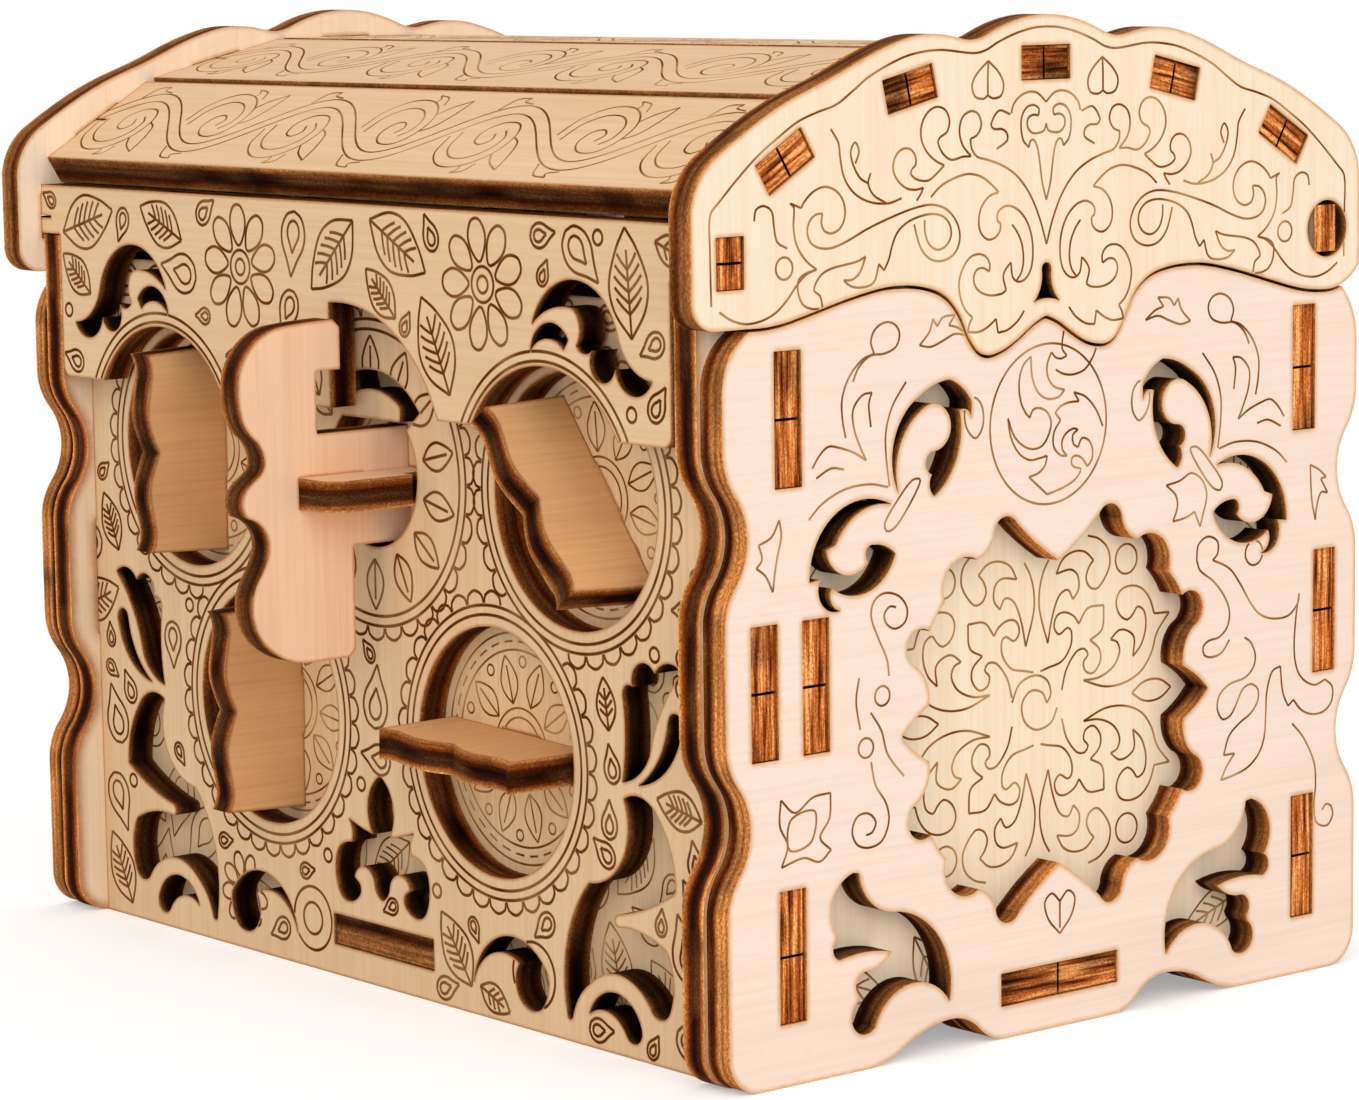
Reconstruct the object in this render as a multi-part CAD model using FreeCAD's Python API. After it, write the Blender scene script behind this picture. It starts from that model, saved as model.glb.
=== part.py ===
# Wooden puzzle box: a chest of laser-cut plywood with four dials, a turning key and a hinged lid.
# X runs along the front, Y towards the back and Z up from the table. Sizes are in millimetres.
import FreeCAD, Part
import math
import os

V = FreeCAD.Vector

# Sheet stock and fits
ply = 4.0
slot_fit = 0.1            # slot edge to tab edge
run_gap = 0.4             # between outlines that move past each other
face_play = 0.15          # each side of a disc that turns between two sheets
pivot_gap = 0.06          # square tail corner to its round hole
tab_inset = 0.4           # tab ends stop short of the outer face
slit_width = 0.35         # spring slit in the middle of a tab
slit_depth = 6.0
arc_fit = 0.12            # how closely arcs follow a smooth run

# Body
inner_width = 134.0       # between the inner side panels
body_depth = 100.0        # front face of the front panel to the back face of the back panel
wall_top = 93.0           # top of the front and inner back sheets
inner_side_rise = 3.0     # inner side panels over the walls
inner_side_cut = 12.0     # top of the inner side panel ends this far in front of the hinge
floor_height = 4.2        # underside of the floor
tab_height = 16.0
low_tab = 15.7            # height of the low tabs' middle
high_tab_drop = 13.2      # middle of the high tabs below the top of the walls
floor_side_tab = 20.0
floor_front_tab = 22.0

# Wavy side panels
side_reach = 4.0          # belly of the outer panel past the body's depth
inner_side_extra = 0.5    # inner panel past the outer one
waist_depth = 3.6
waist_spread = 10.5       # waist to belly along the edge
low_waist = 31.7
high_waist_drop = 16.8    # below the top of the belly
foot_arch = 4.0
foot_round = 1.4
arch_front = 33.0         # distances from the middle of the panel
arch_middle = 18.5
arch_back = 9.0
belly_drop = 9.4          # top of the belly below the seam
belly_bottom = 5.0

# Lobed window in the side panels
window_height = 39.9
notch_radius = 19.0       # notches in its top and bottom
point_radius = 26.4       # points at its sides

# Lid
lid_centre = -2.2         # the lid's middle lies in front of the body's
lid_overhang = 6.3        # half of what the lid is deeper than the body
lid_side_play = 0.2       # cheek to inner side panel
cheek_low_corner = 2.2    # ends of the cheek's upright edges over the seam
cheek_high_corner = 12.1
hinge_back = 2.0          # hinge axis in front of the body's back face
hinge_rise = 4.5          # hinge axis over the walls
hinge_tab = 6.0
seam_radius = 8.05        # seam round the hinge
seam_drop = 5.1           # seam between cheeks and side panels below the hinge axis
relief_turn = 22.0        # degrees that the seam runs round the hinge
shoulder_drop = 1.8       # front end of the seam below its height
shoulder_width = 4.2
shoulder_round = 1.5
shoulder_rise = 5.0
back_round = 0.7
back_rise = 3.5
cheek_corner = 3.6
corner_bulge = 1.0
slat_margin = 3.6         # end slats to the ends of the cheeks
slat_gap = 0.8
end_slat_gap = 3.2
eave_rise = 5.97          # low edges of the end slats over the hinge axis
crown_rise = 5.8          # top of the cheeks over that plane
slat_tilts = (13.0, 31.0) # degrees, from the top slat outwards
slat_tab = 8.0
skirt_gap = 0.7           # skirt to front panel
skirt_drop = 16.5         # bottom of the skirt below the top of the walls
skirt_ear = 6.9           # ears over the inner side panels
skirt_tab_rise = 2.5
skirt_tab = 6.0
skirt_corner = 1.6

# Dials
dial_web = 1.39           # wood between the dials' holes
dial_lip = 1.6            # front panel over the rim of a dial
upper_dial_inset = 25.0   # from the panel's side
upper_dial_drop = 25.2    # below the top of the walls
lower_dial_inset = 42.0
dial_share = 0.509        # height of the lower dials as a share of the upper ones'
skirt_dial_arc = 16.9
handle_length = 28.0
handle_reach = 12.4       # past the face of the dial
handle_cusp = 10.8
handle_draft = 0.6        # handle is this much narrower at its front, each side
tail_width = 8.0
wheel_radius = 14.0
wheel_sides = 16          # hidden wheels are cut many-sided
gate_inner = 10.0
gate_width = 5.6
gate_floor = 1.5          # wood left between the gate and the tail
handle_turns = {"upper_left": 90.0, "upper_right": 128.0, "lower_left": 90.0, "lower_right": 178.0}

# Key and latch
key_drop = 26.5           # key's axis below the top of the walls
key_eye_lift = 1.4        # middle of the key hole over the key's axis
key_window = 9.6
key_hub = 15.0
key_tab = 14.8            # height of the key's tongue
key_half = 21.8           # half the height of the key's bow
key_front = 71.8          # how far the bow stands in front of the body's middle
cross_width = 18.4
cross_front = 63.0
key_notch = 5.3           # notches of the bow in front of the skirt
key_clear = 1.5           # upper lobe of the bow in front of the skirt
key_step = 6.4
key_corner = 1.0
cross_corner = 3.0
lap_over = 1.0
spacer_radius = 8.0
washer_radius = 11.0
latch_hub = 10.0
latch_inner = 17.0
latch_outer = 21.0
latch_tip = -57.0         # degrees from the vertical, clockwise from the front
latch_tail = -110.0
latch_arm = -92.0
latch_flare = 6.0         # degrees that the arm widens towards the hub
skirt_key_arc = 22.3      # about the middle of the key hole
skirt_key_edge = -2.4
tongue_gap = 1.0          # key to the tongue over it
tongue_arc = 10.9
tongue_back = 2.2
tongue_blunt = 6.0
crescent_arc = 13.4
crescent_end = 51.0
crescent_start = -18.0

# Lid hooks
hook_reach = 4.1          # foot of a hook in front of its stem
hook_stem = 5.6
hook_foot = 4.0
latch_hook_offset = 8.0   # middle of the latch hook from the key's axis
hook_clear = 0.5
hook_shoulder = 12.0      # top of the stem above the walls

# Places that follow from the sizes above
inner_side_top = wall_top + inner_side_rise
high_tab = wall_top - high_tab_drop
middle_tab = (low_tab + high_tab) / 2
hinge_height = wall_top + hinge_rise
seam_height = hinge_height - seam_drop
belly_top = seam_height - belly_drop
waists = (low_waist, belly_top - high_waist_drop)
lid_half_depth = body_depth / 2 + lid_overhang
slat_turns = [math.cos(math.radians(tilt)) for tilt in slat_tilts]
slat_pitch = (lid_half_depth - slat_margin) / (0.5 + sum(slat_turns))
slat_drops = [slat_pitch * math.sin(math.radians(tilt)) for tilt in slat_tilts]
slat_crown = hinge_height + eave_rise + sum(slat_drops)
skirt_low = wall_top - skirt_drop
skirt_high = inner_side_top + skirt_ear
skirt_tab_height = inner_side_top + skirt_tab_rise
key_height = wall_top - key_drop
key_eye = key_height + key_eye_lift
tongue_base = key_tab / 2 + tongue_gap - key_eye_lift
x_inner = inner_width / 2
upper_dial = (x_inner - upper_dial_inset, wall_top - upper_dial_drop)
lower_dial = (x_inner - lower_dial_inset, upper_dial[1] * dial_share)
dial_radius = math.dist(upper_dial, lower_dial) / 2 - dial_web / 2 - run_gap
dial_window = dial_radius - dial_lip
x_outer = x_inner + ply
x_end = x_outer + ply
x_tab = x_end - tab_inset
y_front = -body_depth / 2
y_carrier = y_front + ply
y_lining = y_carrier + ply
y_room_front = y_lining + ply
y_back = body_depth / 2
y_outer_back = y_back - ply
y_inner_back = y_outer_back - ply
hinge_y = y_back - hinge_back
y_skirt = y_front - skirt_gap - ply
floor_middle = floor_height + ply / 2
x_cheek = x_outer + lid_side_play
x_lid_tab = x_cheek + ply - tab_inset
to_middle = (key_front - body_depth / 2 - side_reach - inner_side_extra) / 2


# Flat outlines, drawn in their own u, v plane
def polygon(points):
    corners = [V(u, v, 0) for u, v in points]
    return Part.makePolygon(corners + corners[:1])


def run(points):
    # Straight through two points, round through three, smooth through more
    if len(points) == 2:
        return [line(*points)]
    if len(points) == 3:
        return [arc(*points)]
    curve = Part.BSplineCurve()
    curve.interpolate([V(u, v, 0) for u, v in points])
    return [piece.toShape() for piece in curve.toBiArcs(arc_fit)]


def outline(start, *runs):
    # Closed outline: each run goes on from the last point, and the last one ends at the start
    edges = []
    last = start
    for points in runs:
        edges += run([last] + points)
        last = points[-1]
    if last != start:
        edges.append(line(last, start))
    return Part.Wire(edges)


def ess(start, end, upright):
    # Two equal arcs that leave and arrive upright, or level
    if upright:
        turned = ess(start[::-1], end[::-1], False)
        return [[point[::-1] for point in points] for points in turned]
    du = end[0] - start[0]
    dv = end[1] - start[1]
    radius = (du ** 2 + dv ** 2) / (4 * abs(dv))
    half_turn = math.asin(abs(du) / (2 * radius)) / 2
    step_u = math.copysign(radius * math.sin(half_turn), du)
    step_v = math.copysign(radius * (1 - math.cos(half_turn)), dv)
    middle = (start[0] + du / 2, start[1] + dv / 2)
    first = [start, (start[0] + step_u, start[1] + step_v), middle]
    second = [middle, (end[0] - step_u, end[1] - step_v), end]
    return [first, second]


def line(start, end):
    return Part.LineSegment(V(*start, 0), V(*end, 0)).toShape()


def arc(start, middle, end):
    return Part.Arc(V(*start, 0), V(*middle, 0), V(*end, 0)).toShape()


def circle(u, v, radius):
    return Part.Wire(Part.makeCircle(radius, V(u, v, 0)))


def on_circle(u, v, radius, clock_degrees):
    angle = math.radians(clock_degrees)
    return (u + radius * math.sin(angle), v + radius * math.cos(angle))


def rectangle(u, v, width, height, degrees=0.0):
    wire = polygon([(-width / 2, -height / 2), (width / 2, -height / 2),
                    (width / 2, height / 2), (-width / 2, height / 2)])
    wire.rotate(V(0, 0, 0), V(0, 0, 1), degrees)
    wire.translate(V(u, v, 0))
    return wire


def slot(u, v, width, height, degrees=0.0):
    return rectangle(u, v, width + 2 * slot_fit, height + 2 * slot_fit, degrees)


def flipped(points):
    return [(-u, v) for u, v in points]


def backwards(start, runs):
    # The same runs from their end to their start
    points = [start]
    back = []
    for run_points in runs:
        back.insert(0, list(reversed(points[-1:] + run_points[:-1])))
        points = run_points
    return back


def both_hands(start, *runs):
    right = outline(start, *runs)
    left = outline(*flipped([start]), *[flipped(points) for points in runs])
    return [left, right]


def face_of(outer, holes):
    return Part.makeFace([outer] + holes, "Part::FaceMakerBullseye")


def slit_tab(edge, end, middle, height):
    # Right-hand tab, from its lower corner to its upper one
    low = middle - height / 2
    high = middle + height / 2
    slit_low = middle - slit_width / 2
    slit_high = middle + slit_width / 2
    slit_floor = end - slit_depth
    return [(edge, low), (end, low), (end, slit_low), (slit_floor, slit_low),
            (slit_floor, slit_high), (end, slit_high), (end, high), (edge, high)]


def tabbed_sheet(half_width, low, high, tabs, end):
    right = [(half_width, low)]
    for middle, height in tabs:
        right += slit_tab(half_width, end, middle, height)
    right += [(half_width, high)]
    return polygon(right + flipped(reversed(right)))


# Sheets: an outline given its thickness and stood in its place
def stand(face, thickness, rotation, place):
    solid = face.extrude(V(0, 0, thickness)).Solids[0]
    solid.Placement = FreeCAD.Placement(place, rotation)
    return solid


def front_sheet(outer, holes, y, thickness=ply):
    turn = FreeCAD.Rotation(V(1, 0, 0), 90)
    return stand(face_of(outer, holes), thickness, turn, V(0, y + thickness, 0))


def side_sheet(outer, holes, x, thickness=ply):
    turn = FreeCAD.Rotation(V(0, 1, 0), V(0, 0, 1), V(1, 0, 0), "ZXY")
    return stand(face_of(outer, holes), thickness, turn, V(x, 0, 0))


def flat_sheet(outer, holes, z, thickness=ply):
    return stand(face_of(outer, holes), thickness, FreeCAD.Rotation(), V(0, 0, z))


parts = {}


# Body sheets
def floor_slot():
    return slot(0, floor_middle, floor_front_tab, ply)


def make_floor():
    tab = floor_front_tab / 2
    front = y_front + tab_inset
    back = y_back - tab_inset
    right = [(tab, front), (tab, y_room_front), (x_inner, y_room_front)]
    right += slit_tab(x_inner, x_tab, 0, floor_side_tab)
    right += [(x_inner, y_inner_back), (tab, y_inner_back), (tab, back)]
    parts["floor_panel"] = flat_sheet(polygon(right + flipped(reversed(right))), [], floor_height)


def front_scrolls():
    # Cut-outs of the front panel: distance in from the panel's side, height
    def at_side(*points):
        return [(x_inner - d, v) for d, v in points]
    leaves = both_hands(*at_side((16.5, 34.2)), at_side((15.8, 39.4), (16.2, 44.8)),
                        at_side((15.6, 46.2), (14.3, 46.2)), at_side((13.3, 49.0), (10.0, 48.3)),
                        at_side((7.6, 49.8), (4.9, 49.0)), at_side((9.3, 43.2), (11.2, 38.0)),
                        at_side((13.2, 35.6), (16.5, 34.2)))
    drops = both_hands(*at_side((13.4, 34.2)), at_side((9.4, 38.0), (7.6, 42.6)),
                       at_side((6.2, 43.9), (4.9, 42.4)), at_side((6.8, 38.0), (13.4, 34.2)))
    swans = both_hands(*at_side((16.3, 32.2)), at_side((13.0, 32.8), (10.0, 31.0)), at_side((7.6, 27.2), (6.6, 22.0)),
                       at_side((11.0, 19.7), (17.8, 17.6)), at_side((18.4, 16.7), (17.7, 16.0)),
                       at_side((12.6, 15.9), (8.4, 14.4)), at_side((7.2, 10.6), (7.9, 7.0)),
                       at_side((9.8, 5.8), (11.7, 7.0)), at_side((18.0, 10.1), (23.5, 8.0)),
                       at_side((25.8, 5.8), (27.0, 3.2)), at_side((27.6, 2.8), (28.1, 3.5)),
                       at_side((27.9, 12.8), (23.4, 20.7)), at_side((15.9, 26.4), (16.3, 32.2)))
    crescents = both_hands(*at_side((23.7, 4.2)), at_side((19.1, 7.7), (13.5, 4.2)),
                           at_side((14.7, 1.9), (16.4, 2.7)), at_side((19.6, 5.0), (23.7, 4.2)))
    hooks = both_hands(*at_side((47.4, 4.1)), at_side((39.0, 11.4), (31.8, 7.4)),
                       at_side((32.1, 4.9), (33.2, 3.1)), at_side((38.0, 4.0), (37.7, 8.2)),
                       at_side((41.6, 9.0), (47.4, 4.1)))
    return leaves + drops + swans + crescents + hooks


def front_fleur():
    # Spade over a pair of curled arms
    right = [[(2.9, 23.2), (1.8, 20.2)], [(4.6, 20.8), (7.2, 21.6)], [(6.4, 20.0), (6.6, 18.5)],
             [(10.4, 14.8), (8.0, 10.3), (4.8, 12.2), (6.2, 13.9)], [(4.0, 15.6), (1.7, 13.6)],
             [(1.1, 12.3), (0.0, 11.6)]]
    top = (0.0, 28.2)
    left = [flipped(points) for points in backwards(top, right)]
    return outline(top, *right, *left)


def key_opening():
    # Round key hole with a tongue in its top and a crescent over the tongue
    def at(radius, clock):
        return on_circle(0, key_eye, radius, clock)
    tip_u = math.sqrt(tongue_arc ** 2 - tongue_base ** 2) - tongue_back
    tip_clock = math.degrees(math.atan2(tip_u, tongue_base)) - tongue_blunt
    base = (-math.sqrt(key_window ** 2 - tongue_base ** 2), key_eye + tongue_base)
    return outline(at(crescent_arc, crescent_start),
                   [at(crescent_arc, (crescent_start + crescent_end) / 2), at(crescent_arc, crescent_end)],
                   [at(key_window, crescent_end)], [at(key_window, 180), base], [(tip_u, key_eye + tongue_base)],
                   [at(tongue_arc, tip_clock)],
                   [at(tongue_arc, (crescent_start + tip_clock) / 2), at(tongue_arc, crescent_start)])


def dial_places():
    names = {}
    for row, (u, v) in (("upper", upper_dial), ("lower", lower_dial)):
        names[row + "_left"] = (-u, v)
        names[row + "_right"] = (u, v)
    return names


def make_front_sheets():
    holes = [circle(u, v, dial_window) for u, v in dial_places().values()]
    holes += front_scrolls() + [front_fleur(), key_opening(), floor_slot()]
    outer = tabbed_sheet(x_inner, 0, wall_top, [(middle_tab, tab_height)], x_tab)
    parts["front_panel"] = front_sheet(outer, holes, y_front)

    holes = [circle(u, v, dial_radius + run_gap) for u, v in dial_places().values()]
    holes += [circle(0, key_height, key_hub + run_gap), floor_slot()]
    tabs = [(low_tab, tab_height), (high_tab, tab_height)]
    outer = tabbed_sheet(x_inner, 0, wall_top, tabs, x_tab)
    parts["dial_carrier_panel"] = front_sheet(outer, holes, y_carrier)

    pivot = math.hypot(tail_width, ply) / 2 + pivot_gap
    holes = [circle(u, v, pivot) for u, v in dial_places().values()]
    holes += [circle(0, key_height, spacer_radius + pivot_gap), floor_slot()]
    outer = tabbed_sheet(x_inner, 0, wall_top, [(middle_tab, tab_height)], x_tab)
    parts["front_lining_panel"] = front_sheet(outer, holes, y_lining)


def make_back_sheets():
    tabs = [(low_tab, tab_height), (high_tab, tab_height)]
    outer = tabbed_sheet(x_inner, 0, wall_top, tabs, x_tab)
    parts["inner_back_panel"] = front_sheet(outer, [floor_slot()], y_inner_back)
    top = hinge_height + hinge_tab / 2
    right = [(x_inner, 0)] + slit_tab(x_inner, x_tab, middle_tab, tab_height)
    right += [(x_inner, top - hinge_tab), (x_lid_tab, top - hinge_tab), (x_lid_tab, top)]
    outer = polygon(right + flipped(reversed(right)))
    parts["outer_back_panel"] = front_sheet(outer, [floor_slot()], y_outer_back)


# Side panels and the seam they share with the lid's cheeks
def wave_edge(reach):
    # Front edge from the bottom up: bellies with two waists between them
    belly = -reach
    waist = waist_depth - reach
    edges = []
    last = (belly, belly_bottom)
    for height in waists:
        below = (belly, height - waist_spread)
        above = (belly, height + waist_spread)
        edges.append(line(last, below))
        for points in ess(below, (waist, height), True) + ess((waist, height), above, True):
            edges += run(points)
        last = above
    return edges + [line(last, (belly, belly_top))]


def mirrored_depth(edges):
    flip = FreeCAD.Placement(V(0, 0, 0), FreeCAD.Rotation(V(0, 1, 0), 180))
    return [edge.transformed(flip.toMatrix()) for edge in reversed(edges)]


def seam_half(lift):
    # From the middle point outwards: distance from the lid's middle, height
    shape = [(0.0, -3.2), (4.0, -5.2), (7.8, -7.1), (10.8, -7.2), (13.6, -3.8), (16.3, -0.2), (21.8, 1.7), (35.8, 0.0)]
    return [(d, seam_height + rise + lift) for d, rise in shape]


def seam_shoulder(lift):
    return (y_front - side_reach + shoulder_width, seam_height - shoulder_drop + lift)


def seam_front(lift):
    points = [(lid_centre - d, z) for d, z in seam_half(lift)]
    return [seam_shoulder(lift)] + list(reversed(points))


def seam_back(lift):
    points = [(lid_centre + d, z) for d, z in seam_half(lift)]
    return points + [(hinge_y, hinge_height - seam_radius + lift)]


def foot_edge(reach):
    # Front foot, the arch behind it and the middle foot as far as the panel's middle
    corner = [(-reach, belly_bottom), (-reach + foot_round, foot_round), (-reach + belly_bottom, 0.0)]
    edges = [arc(*corner), line(corner[2], (-arch_front, 0.0))]
    top = (-arch_middle, foot_arch)
    for points in ess((-arch_front, 0.0), top, False) + ess(top, (-arch_back, 0.0), False):
        edges += run(points)
    return edges + [line((-arch_back, 0.0), (0.0, 0.0))]


def panel_slots():
    carrier = y_carrier + ply / 2
    back = y_inner_back + ply / 2
    places = [(carrier, low_tab), (carrier, high_tab), (y_front + ply / 2, middle_tab),
              (y_lining + ply / 2, middle_tab), (back, low_tab), (back, high_tab),
              (y_outer_back + ply / 2, middle_tab)]
    return [slot(y, z, ply, tab_height) for y, z in places] + [slot(0, floor_middle, floor_side_tab, ply)]


def lower_edges(reach):
    # Both wavy edges and the feet
    front = wave_edge(reach) + foot_edge(reach)
    return front + mirrored_depth(front)


def hinge_relief(lift):
    # Seam carried round the hinge, from straight below it towards the back
    radius = seam_radius - lift
    turns = [math.radians(relief_turn * share) for share in (0, 0.5, 1)]
    return [(hinge_y + radius * math.sin(a), hinge_height - radius * math.cos(a)) for a in turns]


def back_shoulder(reach, end):
    return [(reach, belly_top), (reach - back_round, belly_top + back_rise), end]


def closed(edges):
    return Part.Wire(Part.sortEdges(edges)[0])


def outer_side_outline():
    reach = body_depth / 2 + side_reach
    lift = -run_gap / 2
    shoulder = seam_shoulder(lift)
    relief = hinge_relief(lift)
    edges = lower_edges(reach) + run(back_shoulder(reach, relief[2])) + run(relief)
    edges += run(seam_back(lift)) + run(seam_front(lift))
    edges += run([shoulder, (-reach + shoulder_round, belly_top + shoulder_rise), (-reach, belly_top)])
    return closed(edges)


def inner_side_outline():
    reach = body_depth / 2 + side_reach + inner_side_extra
    relief = hinge_relief(-run_gap)
    corner = (-reach, inner_side_top)
    edges = lower_edges(reach) + run(back_shoulder(reach, relief[2])) + run(relief)
    edges += run([relief[0], (hinge_y - inner_side_cut, inner_side_top)])
    edges += run([(hinge_y - inner_side_cut, inner_side_top), corner]) + run([corner, (-reach, belly_top)])
    return closed(edges)


def lobed_window():
    # A quarter of it, from the top notch over three lobes to the point, then its mirror images
    quarter = [[(3.6, 21.4), (7.0, 24.2)], [(9.2, 25.3), (11.0, 23.2)], [(11.9, 21.5), (13.7, 20.4)],
               [(18.6, 19.6), (19.2, 15.8)], [(20.5, 14.4), (21.7, 12.5)], [(25.4, 11.0), (23.8, 8.3)],
               [(22.2, 6.2), (21.9, 3.4)], [(24.2, 2.0), (point_radius, 0.0)]]
    top = (0.0, notch_radius)
    half = list(quarter)
    half += [[(u, -v) for u, v in points] for points in backwards(top, quarter)]
    whole = half + [flipped(points) for points in backwards(top, half)]
    placed = [[(u, window_height + v) for u, v in points] for points in whole]
    return outline((0.0, window_height + notch_radius), *placed)


def side_scrolls():
    # Cut-outs of the outer side panel: distance from the panel's middle, drop from the seam or height
    def hung(*points):
        return [(u, seam_height - drop) for u, drop in points]
    upper = both_hands(*hung((26.6, 22.9)), hung((27.4, 16.8), (23.0, 11.3)), hung((20.8, 10.2), (18.2, 9.7)),
                       hung((16.2, 10.8), (14.6, 12.7)), hung((14.7, 14.9)), hung((15.4, 13.6), (16.6, 13.6)),
                       hung((17.1, 19.4), (20.8, 23.7)), hung((21.6, 22.3), (21.2, 21.0)), hung((22.2, 19.8), (21.0, 18.2)),
                       hung((18.2, 16.2), (22.6, 13.0)), hung((26.0, 16.4), (26.6, 22.9)))
    lower = both_hands(*hung((27.8, 24.0)), hung((36.9, 24.5), (40.9, 32.2)), hung((39.2, 32.0)),
                       hung((38.6, 35.4), (36.0, 36.0)), hung((37.5, 34.9), (37.4, 33.2)), hung((32.0, 34.3), (27.2, 30.0)),
                       hung((28.9, 28.9), (30.6, 28.6)), hung((31.9, 29.2), (31.6, 30.6)), hung((34.9, 31.9), (38.2, 28.6)),
                       hung((36.7, 28.1)), hung((33.2, 24.7), (27.8, 24.0)))
    leaves = both_hands((18.8, 6.3), [(25.6, 9.4), (31.0, 5.0)], [(33.0, 4.4), (33.9, 8.4)], [(33.6, 9.2)],
                        [(34.0, 11.0), (32.0, 12.1)], [(29.8, 12.7), (28.2, 13.9)], [(32.4, 14.5), (36.6, 14.1)],
                        [(37.7, 15.6), (36.8, 16.9)], [(37.9, 20.6), (34.4, 24.5)], [(33.4, 24.3)],
                        [(31.9, 20.8), (28.0, 18.8)], [(21.3, 15.6), (18.8, 6.3)])
    return upper + lower + leaves


def make_side_panels():
    for hand, sign in (("left", -1), ("right", 1)):
        inner = x_inner if sign > 0 else -x_outer
        outer = x_outer if sign > 0 else -x_end
        parts[hand + "_inner_side_panel"] = side_sheet(inner_side_outline(), panel_slots(), inner)
        holes = panel_slots() + side_scrolls() + [lobed_window()]
        parts[hand + "_outer_side_panel"] = side_sheet(outer_side_outline(), holes, outer)


# Lid
def slat_places():
    # Middle, tilt and width of each slat, from the front to the back
    places = []
    y = lid_centre + slat_pitch / 2
    z = slat_crown
    for tilt, gap in zip(slat_tilts, (slat_gap, end_slat_gap)):
        along = V(math.cos(math.radians(tilt)), -math.sin(math.radians(tilt)), 0)
        width = slat_pitch - gap
        middle = V(y, z, 0) + along * ((slat_gap + width) / 2)
        places.append((middle.x, middle.y, -tilt, width))
        y += along.x * slat_pitch
        z += along.y * slat_pitch
    front = [(2 * lid_centre - m, h, -tilt, width) for m, h, tilt, width in reversed(places)]
    return front + [(lid_centre, slat_crown, 0.0, slat_pitch - slat_gap)] + places


def cheek_top():
    # From the middle outwards: share of the lid's half depth, drop from its top
    shape = [(0.0, 0.0), (0.09, 0.6), (0.16, 1.9), (0.213, 2.8), (0.284, 2.2), (0.355, 2.1), (0.435, 2.8), (0.524, 4.5),
             (0.604, 6.4), (0.675, 7.6), (0.764, 9.8), (0.87, 13.0), (0.96, 16.6)]
    half = [(lid_half_depth * share, slat_crown + crown_rise - drop) for share, drop in shape]
    half.append((lid_half_depth, seam_height + cheek_high_corner))
    front = [(lid_centre - d, z) for d, z in reversed(half)]
    return front + [(lid_centre + d, z) for d, z in half[1:]]


def cheek_outline():
    lift = run_gap / 2
    front = lid_centre - lid_half_depth
    back = lid_centre + lid_half_depth
    low = (front + cheek_corner, seam_height - shoulder_drop + lift)
    radius = seam_radius - lift
    back_low = hinge_height - math.sqrt(radius ** 2 - (back - hinge_y) ** 2)
    turn = math.asin((back - hinge_y) / radius) / 2
    round_hinge = (hinge_y + radius * math.sin(turn), hinge_height - radius * math.cos(turn))
    below = (hinge_y, hinge_height - radius)
    top = cheek_top()
    behind = list(reversed(seam_back(lift)))
    before = list(reversed(seam_front(lift)))
    return outline(low, [(front + corner_bulge, low[1] + corner_bulge), (front, seam_height + cheek_low_corner)], top[:1], top[1:],
                   [(back, back_low)], [round_hinge, below], behind[1:], before[1:], [low])


def cheek_holes():
    holes = [slot(y, z, slat_tab, ply, tilt) for y, z, tilt, width in slat_places()]
    holes.append(slot(y_skirt + ply / 2, skirt_tab_height, ply, skirt_tab))
    pivot = math.hypot(ply, hinge_tab) / 2 + pivot_gap
    holes.append(circle(hinge_y, hinge_height, pivot))
    spade = [(lid_centre + d, seam_height + rise) for d, rise in
             ((-2.2, -1.3), (-1.0, 0.5), (-0.8, 2.6), (0.0, 3.5), (0.8, 2.6), (1.0, 0.5), (2.2, -1.3), (0.0, -0.9))]
    holes.append(outline(spade[0], spade[1:3], spade[3:5], spade[5:7], [spade[7], spade[0]]))
    return holes


def make_slats():
    for number, (y, z, tilt, width) in enumerate(slat_places(), 1):
        tab = slit_tab(x_cheek, x_lid_tab, 0, slat_tab)
        right = [(x_cheek, -width / 2)] + tab + [(x_cheek, width / 2)]
        face = face_of(polygon(right + flipped(reversed(right))), [])
        turn = FreeCAD.Rotation(V(1, 0, 0), tilt)
        down = turn.multVec(V(0, 0, -ply / 2))
        parts["lid_slat_%d" % number] = stand(face, ply, turn, V(0, y, z) + down)


def skirt_scrolls():
    # Cut-outs over each upper dial, from its middle
    def over(*points):
        return [(upper_dial[0] + u, upper_dial[1] + v) for u, v in points]
    arches = both_hands(*over((-1.8, 21.9)), over((6.4, 27.7), (14.6, 21.8)), over((17.2, 17.8), (21.2, 16.4)),
                        over((18.0, 14.4), (14.2, 17.4)), over((11.6, 15.6), (10.2, 19.8)),
                        over((8.2, 18.9), (6.8, 19.8)), over((7.4, 22.6), (6.2, 24.2)), over((2.4, 24.1), (-1.8, 21.9)))
    hooks = both_hands(*over((-2.2, 18.6)), over((1.6, 22.3), (5.3, 20.4)), over((4.4, 19.1)),
                       over((1.2, 20.3), (-2.2, 18.6)))
    return arches + hooks


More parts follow.
